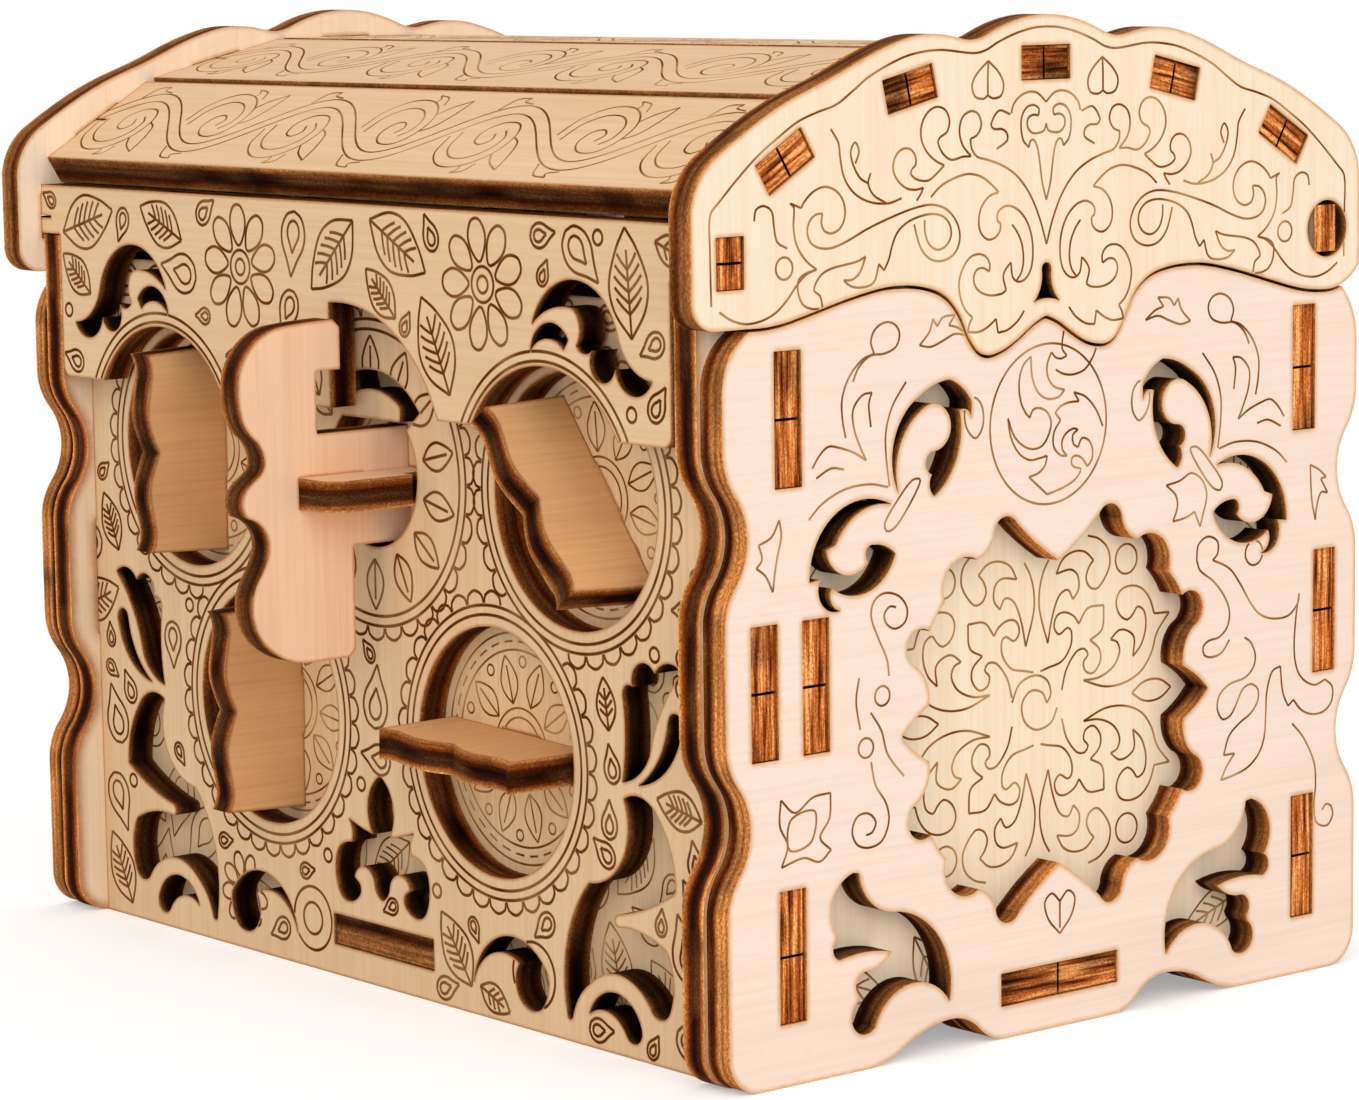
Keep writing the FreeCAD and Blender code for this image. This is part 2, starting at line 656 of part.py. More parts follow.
def skirt_outline():
    side = x_inner - run_gap
    low = skirt_low
    corner = skirt_corner
    bend = corner * (1 - math.sqrt(0.5))
    ear_low = inner_side_top + run_gap / 2
    u, v = upper_dial
    reach = math.sqrt(skirt_dial_arc ** 2 - (low - v) ** 2)
    key_reach = math.sqrt(skirt_key_arc ** 2 - (low - key_eye) ** 2)
    key_top = key_eye + math.sqrt(skirt_key_arc ** 2 - skirt_key_edge ** 2)
    key_middle = on_circle(0, key_eye, skirt_key_arc, 35)
    right = [(side, ear_low), (x_cheek, ear_low)] + slit_tab(x_cheek, x_lid_tab, skirt_tab_height, skirt_tab)
    right += [(x_cheek, skirt_high)]
    ears = [[point] for point in right[1:] + flipped(reversed(right))]
    left_corner = [(-side + bend, low + bend), (-side + corner, low)]
    left_dial = [(-u, v + skirt_dial_arc), (-u + reach, low)]
    right_dial = [(u, v + skirt_dial_arc), (u + reach, low)]
    right_corner = [(side - bend, low + bend), (side, low + corner)]
    return outline(right[0], *ears, [(-side, low + corner)], left_corner, [(-u - reach, low)], left_dial,
                   [(skirt_key_edge, low)], [(skirt_key_edge, key_top)], [key_middle, (key_reach, low)],
                   [(u - reach, low)], right_dial, [(side - corner, low)], right_corner)


def hook_outline(foot_low, foot_front):
    # Hangs under the second slat: a stem with a foot that points to the front
    y, z, tilt, width = slat_places()[1]
    along = (math.cos(math.radians(tilt)), math.sin(math.radians(tilt)))
    under = (y + along[1] * ply / 2, z - along[0] * ply / 2)
    stem = foot_front + hook_reach
    seat = width / 3
    shoulder = wall_top + hook_shoulder
    foot_high = foot_low + hook_foot
    points = [(under[0] - along[0] * seat, under[1] - along[1] * seat), (stem, shoulder), (stem, foot_high),
              (foot_front, foot_high), (foot_front, foot_low), (stem + hook_stem, foot_low),
              (stem + hook_stem, shoulder), (under[0] + along[0] * seat, under[1] + along[1] * seat)]
    return polygon(points)


def make_lid():
    parts["lid_left_cheek"] = side_sheet(cheek_outline(), cheek_holes(), -x_cheek - ply)
    parts["lid_right_cheek"] = side_sheet(cheek_outline(), cheek_holes(), x_cheek)
    make_slats()
    parts["lid_front_skirt"] = front_sheet(skirt_outline(), skirt_scrolls(), y_skirt)
    gate_front = y_room_front + ply
    u, v = upper_dial
    foot_high = v + math.sqrt(gate_inner ** 2 - (ply / 2) ** 2) - hook_clear
    outline = hook_outline(foot_high - hook_foot, gate_front + hook_clear)
    parts["lid_left_gate_hook"] = side_sheet(outline, [], -u - ply / 2)
    parts["lid_right_gate_hook"] = side_sheet(outline, [], u - ply / 2)
    far = latch_hook_offset + ply / 2
    foot_high = key_height + math.sqrt(latch_inner ** 2 - far ** 2) - hook_clear
    outline = hook_outline(foot_high - hook_foot, gate_front + hook_clear)
    parts["lid_latch_hook"] = side_sheet(outline, [], latch_hook_offset - ply / 2)


# Dials: a disc behind the front panel, a handle through it and a wheel behind the lining
def handle_outline():
    half = handle_length / 2
    tail = tail_width / 2
    end = -(y_room_front + ply - face_play - tab_inset - (y_carrier + face_play))
    lobe = [(half - handle_draft, handle_reach), (half - 4.0, handle_reach - 0.8), (half - 8.0, handle_reach),
            (2.2, handle_reach - 0.7), (0.0, handle_cusp)]
    right = [(tail, end), (tail, 0.0), (half, 0.0), lobe[0]]
    corners = [[point] for point in right[1:]]
    back = [[point] for point in flipped(reversed(right[:3]))]
    return outline(right[0], *corners, lobe[1:], flipped(reversed(lobe[:-1])), *back)


def many_sided(u, v, radius, first, last):
    # Corners of a hidden wheel, clockwise between two clock angles
    count = round(wheel_sides * (last - first) / 360)
    return [on_circle(u, v, radius, first + (last - first) * i / count) for i in range(count + 1)]


def gate_notch_ring(u, v):
    # Ring with a gate at its top, as wide as a lid hook needs
    half = gate_width / 2
    inner = gate_inner / math.cos(math.pi / wheel_sides)
    far = math.degrees(math.asin(half / wheel_radius))
    near = math.degrees(math.asin(half / inner))
    rim = many_sided(u, v, wheel_radius, far, 360 - far)
    return polygon(rim + list(reversed(many_sided(u, v, inner, near, 360 - near))))


def gate_wheel(u, v):
    half = gate_width / 2
    in_v = v + tail_width / 2 + gate_floor
    far = math.degrees(math.asin(half / wheel_radius))
    return polygon(many_sided(u, v, wheel_radius, far, 360 - far) + [(u - half, in_v), (u + half, in_v)])


def make_dials():
    face = y_carrier + face_play
    thickness = ply - 2 * face_play
    wheel_face = y_room_front + face_play
    for name, (u, v) in dial_places().items():
        turn = handle_turns[name]
        seat = slot(u, v, tail_width, ply, turn)
        parts[name + "_dial"] = front_sheet(circle(u, v, dial_radius), [seat], face, thickness)
        handle = face_of(handle_outline(), []).extrude(V(0, 0, ply)).Solids[0]
        handle.translate(V(0, 0, -ply / 2))
        handle.rotate(V(0, 0, 0), V(0, 0, 1), 180)
        handle.rotate(V(0, 0, 0), V(0, 1, 0), -turn)
        handle.translate(V(u, face, v))
        parts[name + "_handle"] = handle
        seat = slot(u, v, tail_width, ply, turn)
        plain = polygon(many_sided(u, v, wheel_radius, 0, 360)[1:])
        rim = gate_wheel(u, v) if name.startswith("upper") else plain
        parts[name + "_wheel"] = front_sheet(rim, [seat], wheel_face, thickness)
        if name.startswith("upper"):
            ring_face = wheel_face + thickness
            parts[name + "_gate_ring"] = front_sheet(gate_notch_ring(u, v), [], ring_face)


# Key, its hub and the latch that the hub turns
def key_outline():
    half = key_half
    front = -key_front
    tab = key_tab / 2
    tip = y_lining - face_play - tab_inset
    notch = y_skirt - key_notch
    upper = y_skirt - key_clear
    bow = [(front + 9.8, half - 0.1), (front + 4.3, half - 1.3), (front + 0.7, half - 4.8), (front + 0.08, half - 8.8),
           (front + 0.7, half - 12.4), (front + 2.9, half - 15.2), (front + 3.7, half - 17.5)]
    nose = [(front + 2.8, half - 19.2), (front + 0.6, half - 21.0), (front + 0.2, half - 22.8), (front + 0.9, 19.3 - half)]
    heel = [(front + 3.0, 18.0 - half), (front + 4.1, 15.4 - half), (front + 3.3, 13.0 - half), (front + 1.7, 10.1 - half),
            (front + 1.3, 7.1 - half), (front + 2.5, 3.8 - half), (front + 5.4, 1.2 - half), (front + 9.4, -half)]
    return outline((tip, -tab), [(tip, tab)], [(notch, tab)], [(notch, half - key_step)], [(upper, half - key_step)],
                   [(upper, half - key_corner)], [(upper - key_corner, half)], bow, nose, heel,
                   [(y_skirt - key_corner, -half)], [(y_skirt, -half + key_corner)], [(y_skirt, -tab)])


def latch_outline():
    # A hub with an arm that carries an arc, drawn by clock angles
    def at(radius, clock):
        return on_circle(0, key_height, radius, clock)
    middle = (latch_tip + latch_tail) / 2
    far = (latch_tail + latch_arm) / 2 + 180
    return outline(at(latch_inner, latch_tip),
                   [at(latch_inner, (latch_tip + latch_arm) / 2), at(latch_inner, latch_arm)],
                   [at(latch_hub, latch_arm + latch_flare)],
                   [at(latch_hub, far), at(latch_hub, latch_tail - latch_flare)],
                   [at(latch_outer, latch_tail)], [at(latch_outer, middle), at(latch_outer, latch_tip)])


def make_key():
    bow = side_sheet(key_outline(), [], -ply / 2)
    bow.translate(V(0, 0, key_height))
    half = cross_width / 2
    tab = key_tab / 2
    tip = y_lining - face_play - tab_inset
    shoulder = y_front - run_gap
    lap = (-cross_front + tip) / 2          # the two plates are halved into each other
    lap_slot = rectangle(0, (lap + tip + lap_over) / 2, ply, tip - lap + lap_over)
    bend = cross_corner * (1 - math.sqrt(0.5))
    corner = [(half - bend, -cross_front + bend), (half, -cross_front + cross_corner)]
    right = [corner, [(half, shoulder)], [(tab, shoulder)], [(tab, tip)]]
    front = (half - cross_corner, -cross_front)
    left = [flipped(points) for points in backwards(front, right)]
    around = outline(front, *right, [(-tab, tip)], *left)
    cross = flat_sheet(around, [], key_height - ply / 2)
    back_slot = face_of(lap_slot, []).extrude(V(0, 0, ply)).Solids[0]
    back_slot.translate(V(0, 0, key_height - ply / 2))
    parts["key_cross_plate"] = cross.cut(back_slot).Solids[0]
    parts["key_bow_plate"] = bow.cut(parts["key_cross_plate"]).Solids[0]

    face = y_carrier + face_play
    thickness = ply - 2 * face_play
    socket_end = tab + slot_fit
    arm = ply / 2 + slot_fit
    right = [(arm, -socket_end), (arm, -arm), (socket_end, -arm), (socket_end, arm), (arm, arm), (arm, socket_end)]
    socket = polygon([(u, key_height + v) for u, v in right + flipped(reversed(right))])
    parts["key_hub_disc"] = front_sheet(circle(0, key_height, key_hub), [socket], face, thickness)
    spacer_face = face + thickness
    spacer = ply + 2 * face_play
    parts["key_hub_spacer"] = front_sheet(circle(0, key_height, spacer_radius), [], spacer_face, spacer)
    washer_face = spacer_face + spacer
    washer = polygon(many_sided(0, key_height, washer_radius, 0, 360)[1:])
    parts["key_hub_washer"] = front_sheet(washer, [], washer_face)
    parts["latch_cam"] = front_sheet(latch_outline(), [], washer_face + ply)


make_floor()
make_front_sheets()
make_back_sheets()
make_side_panels()
make_lid()
make_dials()
make_key()

os.makedirs("parts", exist_ok=True)
for name, shape in parts.items():
    shape.translate(V(0, to_middle, 0))     # the origin lies under the middle of the whole object
    if not shape.isValid() or shape.Volume <= 0:
        print("check this piece:", name)
    shape.exportStep("parts/%s.step" % name)
print(len(parts), "pieces")
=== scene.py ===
# Looks for the plywood puzzle chest: birch sheets with burnt edges, engraved faces and a pale studio
import math
import random

import bpy
from mathutils import Matrix, Vector
from mathutils.bvhtree import BVHTree


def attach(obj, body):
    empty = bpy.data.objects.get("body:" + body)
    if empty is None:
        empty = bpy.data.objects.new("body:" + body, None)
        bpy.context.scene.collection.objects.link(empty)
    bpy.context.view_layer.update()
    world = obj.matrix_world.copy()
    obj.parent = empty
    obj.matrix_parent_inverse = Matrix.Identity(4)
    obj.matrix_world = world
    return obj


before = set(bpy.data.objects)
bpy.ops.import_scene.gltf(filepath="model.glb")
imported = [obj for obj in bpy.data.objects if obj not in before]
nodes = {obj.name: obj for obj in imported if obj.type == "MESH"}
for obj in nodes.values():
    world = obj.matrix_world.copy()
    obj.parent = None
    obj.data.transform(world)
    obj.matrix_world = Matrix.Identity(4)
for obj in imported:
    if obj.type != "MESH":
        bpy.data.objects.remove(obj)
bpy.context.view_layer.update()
mm = 0.001
print("frame loaded with", len(nodes), "sheets")


def fromSrgb(red, green, blue):
    channels = []
    for value in (red, green, blue):
        share = value / 255
        channels.append(share / 12.92 if share <= 0.04045 else ((share + 0.055) / 1.055) ** 2.4)
    return (*channels, 1.0)


def grey(value):
    return (value, value, value, 1.0)


# Each sheet's plane, read from the frame
def sheetNormal(sheet):
    ways = {}
    for polygon in sheet.data.polygons:
        way = tuple(round(abs(part), 2) for part in polygon.normal)
        ways.setdefault(way, []).append(polygon)
    widest = max(ways.values(), key=lambda group: sum(polygon.area for polygon in group))
    return max(widest, key=lambda polygon: polygon.area).normal.normalized()


def sheetSpan(sheet, normal):
    levels = [normal.dot(vertex.co) for vertex in sheet.data.vertices]
    return min(levels), max(levels)


# Node helpers; the nodes are laid out in rows as they are added
nodeRow = {"length": 14, "across": 200, "down": 280}


def addNode(tree, kind, **settings):
    row, column = divmod(len(tree.nodes), nodeRow["length"])
    node = tree.nodes.new(kind)
    node.location = (column * nodeRow["across"], -row * nodeRow["down"])
    for name, value in settings.items():
        setattr(node, name, value)
    return node


def newMaterial(name):
    material = bpy.data.materials.new(name)
    material.use_nodes = True
    return material, material.node_tree, material.node_tree.nodes["Principled BSDF"]


def setInputs(node, values):
    for name, value in values.items():
        node.inputs[name].default_value = value


def wire(tree, source, target):
    tree.links.new(source, target)


def setOrWire(tree, socket, value):
    if isinstance(value, (int, float, tuple)):
        socket.default_value = value
    elif value is not None:
        wire(tree, value, socket)


def mathNode(tree, operation, first, second=None, third=None, clamp=False):
    node = addNode(tree, "ShaderNodeMath", operation=operation, use_clamp=clamp)
    for socket, value in zip(node.inputs, (first, second, third)):
        setOrWire(tree, socket, value)
    return node.outputs[0]


def dotNode(tree, first, second):
    node = addNode(tree, "ShaderNodeVectorMath", operation="DOT_PRODUCT")
    wire(tree, first, node.inputs[0])
    wire(tree, second, node.inputs[1])
    return node.outputs["Value"]


def absoluteX(tree, vector):
    node = addNode(tree, "ShaderNodeSeparateXYZ")
    wire(tree, vector, node.inputs[0])
    return mathNode(tree, "ABSOLUTE", node.outputs["X"])


def mixNode(tree, share, first, second, blend="MIX"):
    node = addNode(tree, "ShaderNodeMix", data_type="RGBA", blend_type=blend)
    for index, value in ((0, share), (6, first), (7, second)):
        setOrWire(tree, node.inputs[index], value)
    return node.outputs[2]


def shadeBy(tree, colour, *shades):
    for shade in shades:
        colour = mixNode(tree, 1.0, colour, shade, "MULTIPLY")
    return colour


def rampNode(tree, value, *stops):
    # Stops are a place and a colour, or a place and a grey level
    node = addNode(tree, "ShaderNodeValToRGB")
    elements = node.color_ramp.elements
    while len(elements) < len(stops):
        elements.new(0.5)
    for element, (position, colour) in zip(elements, stops):
        element.position = position
        element.color = colour if isinstance(colour, tuple) else grey(colour)
    wire(tree, value, node.inputs[0])
    return node.outputs[0]


def noiseNode(tree, vector, detail, roughness=0.55):
    node = addNode(tree, "ShaderNodeTexNoise")
    setInputs(node, {"Scale": 1.0, "Detail": detail, "Roughness": roughness})
    wire(tree, vector, node.inputs["Vector"])
    return node.outputs[0]


# Plywood: streaky veneer on the faces, scorched rims, and burnt layers on the cut edges
plyEdge = {"rim": (236, 166, 98), "tan": (220, 150, 86), "amber": (194, 113, 52), "brown": (150, 76, 28),
           "umber": (90, 36, 11), "glue": (56, 21, 6), "char": (30, 10, 3)}
tabEnd = {"dark": (66, 25, 7), "middle": (176, 92, 38), "pale": (234, 164, 98)}
tabEndsFrom = 0.068  # metres from the middle of the box
# Colours through a cut edge, from the outer face at 0 to the inner one at 1
plyLayers = ((0.0, "rim"), (0.09, "amber"), (0.2, "tan"), (0.34, "amber"), (0.46, "tan"), (0.62, "brown"),
             (0.72, "glue"), (0.84, "char"), (0.94, "umber"), (1.0, "char"))
coreLayers = ((0.0, "rim"), (0.1, "amber"), (0.22, "umber"), (0.36, "glue"), (0.52, "char"), (0.68, "umber"),
              (0.78, "brown"), (0.9, "amber"), (1.0, "rim"))
# Cycles per metre along, across and through the sheet, then detail and roughness
grain = {
    "streaks": ((35, 1500, 300), 3, 0.62),
    "bands": ((12, 190, 100), 2, 0.55),
    "flecks": ((320, 4200, 900), 1, 0.55),
    "uneven": ((700, 700, 700), 2, 0.55),
    "wander": ((240, 240, 60), 3, 0.55),
    "slow": ((70, 70, 70), 1, 0.55),
    "fibres": ((70, 70, 1500), 3, 0.65),
    "grit": ((2600, 2600, 3600), 3, 0.7),
    "patches": ((95, 95, 40), 2, 0.55),
}
seedShift = 0.37  # metres between one sheet's pattern and the next one's
bandStrength = 0.6
fleckStrength = 0.8
scorchBase = 0.55
wanderReach = 0.12  # of the sheet's thickness
faceRoughness = 0.62
edgeRoughness = 0.78
streakRelief = 0.4
gritRelief = 0.6


def makePlyGroup():
    tree = bpy.data.node_groups.new("plyBoard", "ShaderNodeTree")
    kinds = {
        "Vector": ("Position", "Surface Normal", "Sheet Normal", "Along", "Across"),
        "Color": ("Veneer", "Streak", "Scorch"),
        "Float": ("Level", "Thickness", "Open Edge", "Open Wall", "Streak Share", "Tab Ends", "Core Burn",
                  "Edge Tone", "Seed"),
    }
    for kind, names in kinds.items():
        for name in names:
            tree.interface.new_socket(name, in_out="INPUT", socket_type="NodeSocket" + kind)
    for name, kind in (("Color", "Color"), ("Roughness", "Float"), ("Height", "Float")):
        tree.interface.new_socket(name, in_out="OUTPUT", socket_type="NodeSocket" + kind)
    given = addNode(tree, "NodeGroupInput").outputs
    result = addNode(tree, "NodeGroupOutput")

    place = given["Position"]
    shift = mathNode(tree, "MULTIPLY", given["Seed"], seedShift)
    along = mathNode(tree, "ADD", dotNode(tree, place, given["Along"]), shift)
    across = mathNode(tree, "ADD", dotNode(tree, place, given["Across"]), shift)
    through = dotNode(tree, place, given["Sheet Normal"])
    noise = {}
    for name, (rates, detail, roughness) in grain.items():
        spot = addNode(tree, "ShaderNodeCombineXYZ")
        for socket, way, rate in zip(spot.inputs, (along, across, through), rates):
            wire(tree, mathNode(tree, "MULTIPLY", way, rate), socket)
        noise[name] = noiseNode(tree, spot.outputs[0], detail, roughness)

    # Face: slow bands, long streaks and short flecks
    share = given["Streak Share"]
    face = given["Veneer"]
    for name, low, high, strength in (("bands", 0.4, 0.7, bandStrength), ("streaks", 0.42, 0.72, 1.0),
                                      ("flecks", 0.66, 0.76, fleckStrength)):
        amount = mathNode(tree, "MULTIPLY", rampNode(tree, noise[name], (low, 0), (high, 1)),
                          mathNode(tree, "MULTIPLY", share, strength))
        face = mixNode(tree, amount, face, given["Streak"])

    # Scorch: amber beside a cut, uneven along it
    nearCut = mathNode(tree, "MULTIPLY", mathNode(tree, "SUBTRACT", 1.0, given["Open Edge"]),
                       mathNode(tree, "ADD", noise["uneven"], scorchBase))
    scorch = rampNode(tree, nearCut, (0.04, 0), (0.24, 0.4), (0.48, 0.95))
    face = mixNode(tree, scorch, face, given["Scorch"])

    # Cut edge: tan plies and a dark inner side, or a burnt core between amber rims
    depth = mathNode(tree, "DIVIDE", mathNode(tree, "SUBTRACT", through, given["Level"]), given["Thickness"])
    wander = mathNode(tree, "MULTIPLY", mathNode(tree, "SUBTRACT", noise["wander"], 0.5), wanderReach)
    depth = mathNode(tree, "ADD", depth, wander)
    plies, burntCore = (rampNode(tree, depth, *((stop, fromSrgb(*plyEdge[tone])) for stop, tone in layers))
                        for layers in (plyLayers, coreLayers))
    pick = rampNode(tree, noise["slow"], (0.45, 0), (0.75, 0.5))
    pick = mathNode(tree, "ADD", pick, given["Core Burn"], clamp=True)
    edge = mixNode(tree, pick, plies, burntCore)

    # Grit, fibres and darker patches of the burn
    gritShade = rampNode(tree, noise["grit"], (0.3, 0.45), (0.5, 1.0), (0.72, 1.9))
    fibreShade = rampNode(tree, noise["fibres"], (0.34, 0.65), (0.5, 1.0), (0.66, 1.35))
    patchShade = rampNode(tree, noise["patches"], (0.53, 1.0), (0.7, 0.4))
    edge = shadeBy(tree, edge, gritShade, fibreShade, patchShade)

    # Painted shade and soot in the hollows of the cut-outs, darker where the sheet's own wood closes round,
    # while the rim stays amber
    shadeAndSoot = rampNode(tree, given["Open Wall"], (0.36, 0.06), (0.6, 0.2), (0.8, 0.5), (0.97, 1.0))
    shadeAndSoot = mathNode(tree, "MAXIMUM", shadeAndSoot, rampNode(tree, depth, (0.06, 0.7), (0.26, 0.0)))
    edge = shadeBy(tree, edge, mathNode(tree, "MULTIPLY", shadeAndSoot, given["Edge Tone"]))

    # Tab ends: amber and brown fibres that run the length of the tab
    dark, middle, pale = (fromSrgb(*tone) for tone in tabEnd.values())
    tabTone = rampNode(tree, noise["fibres"], (0.36, dark), (0.5, middle), (0.64, pale))
    tabRim = rampNode(tree, depth, (0.0, 0.5), (0.07, 1.1), (0.93, 1.1), (1.0, 0.5))
    charred = rampNode(tree, noise["slow"], (0.56, 1.15), (0.7, 0.3))
    tabTone = shadeBy(tree, tabTone, tabRim, charred, gritShade)
    isOutside = mathNode(tree, "GREATER_THAN", absoluteX(tree, place), tabEndsFrom)
    looksOut = mathNode(tree, "MULTIPLY", given["Tab Ends"], absoluteX(tree, given["Surface Normal"]))
    edge = mixNode(tree, mathNode(tree, "MULTIPLY", looksOut, isOutside), edge, tabTone)

    # Face or edge by the way the surface looks
    facing = mathNode(tree, "ABSOLUTE", dotNode(tree, given["Surface Normal"], given["Sheet Normal"]))
    isFace = rampNode(tree, facing, (0.7, 0), (0.75, 1))
    wire(tree, mixNode(tree, isFace, edge, face), result.inputs["Color"])
    rough = mathNode(tree, "MULTIPLY_ADD", isFace, faceRoughness - edgeRoughness, edgeRoughness)
    wire(tree, rough, result.inputs["Roughness"])
    height = mathNode(tree, "ADD", mathNode(tree, "MULTIPLY", noise["streaks"], streakRelief),
                      mathNode(tree, "MULTIPLY", noise["grit"], gritRelief))
    wire(tree, height, result.inputs["Height"])
    return tree


plyGroup = makePlyGroup()

# Veneer, streak and scorch colours of each kind of sheet, and the share of the streaks
finishes = {
    "side": ((251, 227, 211), (238, 206, 180), (218, 164, 104), 0.4),
    "cheek": ((253, 230, 203), (240, 206, 170), (214, 156, 94), 0.42),
    "innerSide": ((253, 231, 202), (238, 206, 166), (186, 122, 66), 0.45),
    "front": ((234, 199, 158), (216, 175, 130), (176, 108, 50), 0.45),
    "slat": ((239, 201, 161), (220, 176, 132), (176, 108, 50), 0.45),
    "dial": ((244, 210, 166), (222, 180, 132), (176, 106, 46), 0.5),
    "handle": ((233, 181, 126), (208, 152, 99), (150, 88, 40), 0.5),
    "key": ((252, 212, 177), (238, 190, 150), (196, 122, 62), 0.5),
    "inside": ((238, 204, 164), (214, 172, 128), (176, 106, 48), 0.5),
}
# Kind of sheet by a part of its name
finishParts = (("_handle", "handle"), ("_dial", "dial"), ("hub_disc", "dial"), ("key_bow", "key"),
               ("key_cross", "key"), ("outer_side", "side"), ("inner_side", "innerSide"), ("cheek", "cheek"),
               ("lid_slat", "slat"), ("front_panel", "front"), ("skirt", "front"), ("dial_carrier", "front"),
               ("outer_back", "front"))
uprightGrain = ("cheek", "inner_side_panel", "front_panel", "key_bow_plate", "dial_carrier_panel")


def finishOf(name):
    return next((finish for part, finish in finishParts if part in name), "inside")


def grainOf(name, normal):
    # Along the grain, in the plane of the sheet
    if name.endswith("_handle"):
        wanted = Vector((0, 1, 0))
    elif name.endswith(uprightGrain) or finishOf(name) == "dial":
        wanted = Vector((0, 0, 1))
    elif abs(normal.x) > 0.7:
        wanted = Vector((0, 1, 0))
    else:
        wanted = Vector((1, 0, 0))
    return (wanted - normal * normal.dot(wanted)).normalized()


# How dark a cut edge's core is between its rims, how light the whole edge is, and how far the scorch reaches
coreBurn = {"key_cross_plate": 0.85, "key_bow_plate": 0.7, "innerSide": 0.9, "cheek": 0.45, "front": 0.6,
            "handle": 0.8, "slat": 0.7, "dial": 0.6, "other": 0.05}
edgeTone = {"front": 0.5, "handle": 0.6, "slat": 0.55, "dial": 0.5, "inside": 0.5, "key": 0.62, "cheek": 0.75,
            "other": 1.0}
scorchReach = {"innerSide": 1.9 * mm, "side": 0.8 * mm, "cheek": 0.7 * mm, "other": 0.5 * mm}
# How far the painted shade and soot in the hollows looks for the sheet's own wood
shadeAndSootReach = 13 * mm
grainRelief = {"Distance": 0.03 * mm, "Strength": 0.35}
woodGloss = 0.03  # specular level of raw wood
outerHigh = ("right_", "lid_right", "lid_slat", "outer_back", "inner_back")  # outer face on the high side


def plyMaterial(name, sheet, seed):
    finish = finishOf(name)
    veneer, streak, scorch, share = finishes[finish]
    normal = sheetNormal(sheet)
    if max(normal, key=abs) < 0:
        normal = -normal
    low, high = sheetSpan(sheet, normal)
    if name.startswith(outerHigh):
        low, high = high, low
    along = grainOf(name, normal)
    hasTabs = abs(normal.x) <= 0.7 and not name.startswith("key") and finish != "handle"
    material, tree, shader = newMaterial("ply_" + name)
    coordinates = addNode(tree, "ShaderNodeTexCoord")
    edgeSense = addNode(tree, "ShaderNodeAmbientOcclusion", inside=True, only_local=True, samples=6)
    setInputs(edgeSense, {"Distance": scorchReach.get(finish, scorchReach["other"])})
    # Occlusion by the sheet's own wood round a cut-out, for the painted shade and soot in the hollows
    wallSense = addNode(tree, "ShaderNodeAmbientOcclusion", only_local=True, samples=4)
    setInputs(wallSense, {"Distance": shadeAndSootReach})
    board = addNode(tree, "ShaderNodeGroup", node_tree=plyGroup)
    wire(tree, coordinates.outputs["Object"], board.inputs["Position"])
    wire(tree, coordinates.outputs["Normal"], board.inputs["Surface Normal"])
    wire(tree, edgeSense.outputs["AO"], board.inputs["Open Edge"])
    wire(tree, wallSense.outputs["AO"], board.inputs["Open Wall"])
    setInputs(board, {
        "Sheet Normal": normal, "Along": along, "Across": normal.cross(along),
        "Level": low, "Thickness": high - low, "Seed": seed,
        "Veneer": fromSrgb(*veneer), "Streak": fromSrgb(*streak), "Scorch": fromSrgb(*scorch),
        "Streak Share": share, "Tab Ends": 1.0 if hasTabs else 0.0,
        "Core Burn": coreBurn.get(name, coreBurn.get(finish, coreBurn["other"])),
        "Edge Tone": edgeTone.get(finish, edgeTone["other"]),
    })
    bump = addNode(tree, "ShaderNodeBump")
    setInputs(bump, grainRelief)
    wire(tree, board.outputs["Height"], bump.inputs["Height"])
    wire(tree, board.outputs["Color"], shader.inputs["Base Color"])
    wire(tree, board.outputs["Roughness"], shader.inputs["Roughness"])
    wire(tree, bump.outputs["Normal"], shader.inputs["Normal"])
    setInputs(shader, {"Specular IOR Level": woodGloss})
    return material


for seed, (name, sheet) in enumerate(sorted(nodes.items())):
    sheet.data.materials.clear()
    sheet.data.materials.append(plyMaterial(name, sheet, seed))
print("plywood on", len(nodes), "sheets")


# Engraving: burnt lines drawn in millimetres on a face, laid on its sheet as low ridges
bodyDepths = [vertex.co.y for vertex in nodes["right_inner_side_panel"].data.vertices]
bodyMiddle = (min(bodyDepths) + max(bodyDepths)) / 2 / mm
lidMiddle = bodyMiddle - 2.2
# Colours of a line's fringe, slope and ridge, its width in millimetres and how far it fades
burntLines = {
    "fine": {"tones": ((232, 188, 132), (178, 118, 58), (104, 58, 21)), "width": 0.4, "fade": 0.5},
    "bold": {"tones": ((214, 166, 110), (142, 86, 38), (88, 45, 17)), "width": 0.56, "fade": 0.25},
}
lineNoise = {"uneven": 420, "slow": 130}  # cycles per metre
lineRoughness = 0.85
lineRidge = 0.02  # millimetres above the wood
lineBase = -0.004
lineStep = 0.6
lineShortest = 0.5
holeHalvings = 5  # to find where a line meets a cut-out
holeGap = 0.02
rayLift = 0.3
rayReach = 0.6


def faceOf(name, outward, middle=(0, 0, 0)):
    sheet = nodes[name]
    normal = sheetNormal(sheet)
    if normal.dot(Vector(outward)) < 0:
        normal = -normal
    wanted = Vector((0, 1, 0)) if abs(normal.z) > 0.7 else Vector((0, 0, 1))
    up = (wanted - normal * normal.dot(wanted)).normalized()
    middle = Vector(middle) * mm
    surface = BVHTree.FromPolygons([vertex.co for vertex in sheet.data.vertices],
                                   [polygon.vertices for polygon in sheet.data.polygons])
    return {"name": name, "origin": middle + normal * (sheetSpan(sheet, normal)[1] - normal.dot(middle)),
            "axes": (up.cross(normal), up, normal), "surface": surface}


def spotOn(face, point, lift=0.0):
    across, up, normal = face["axes"]
    return face["origin"] + (across * point[0] + up * point[1] + normal * lift) * mm


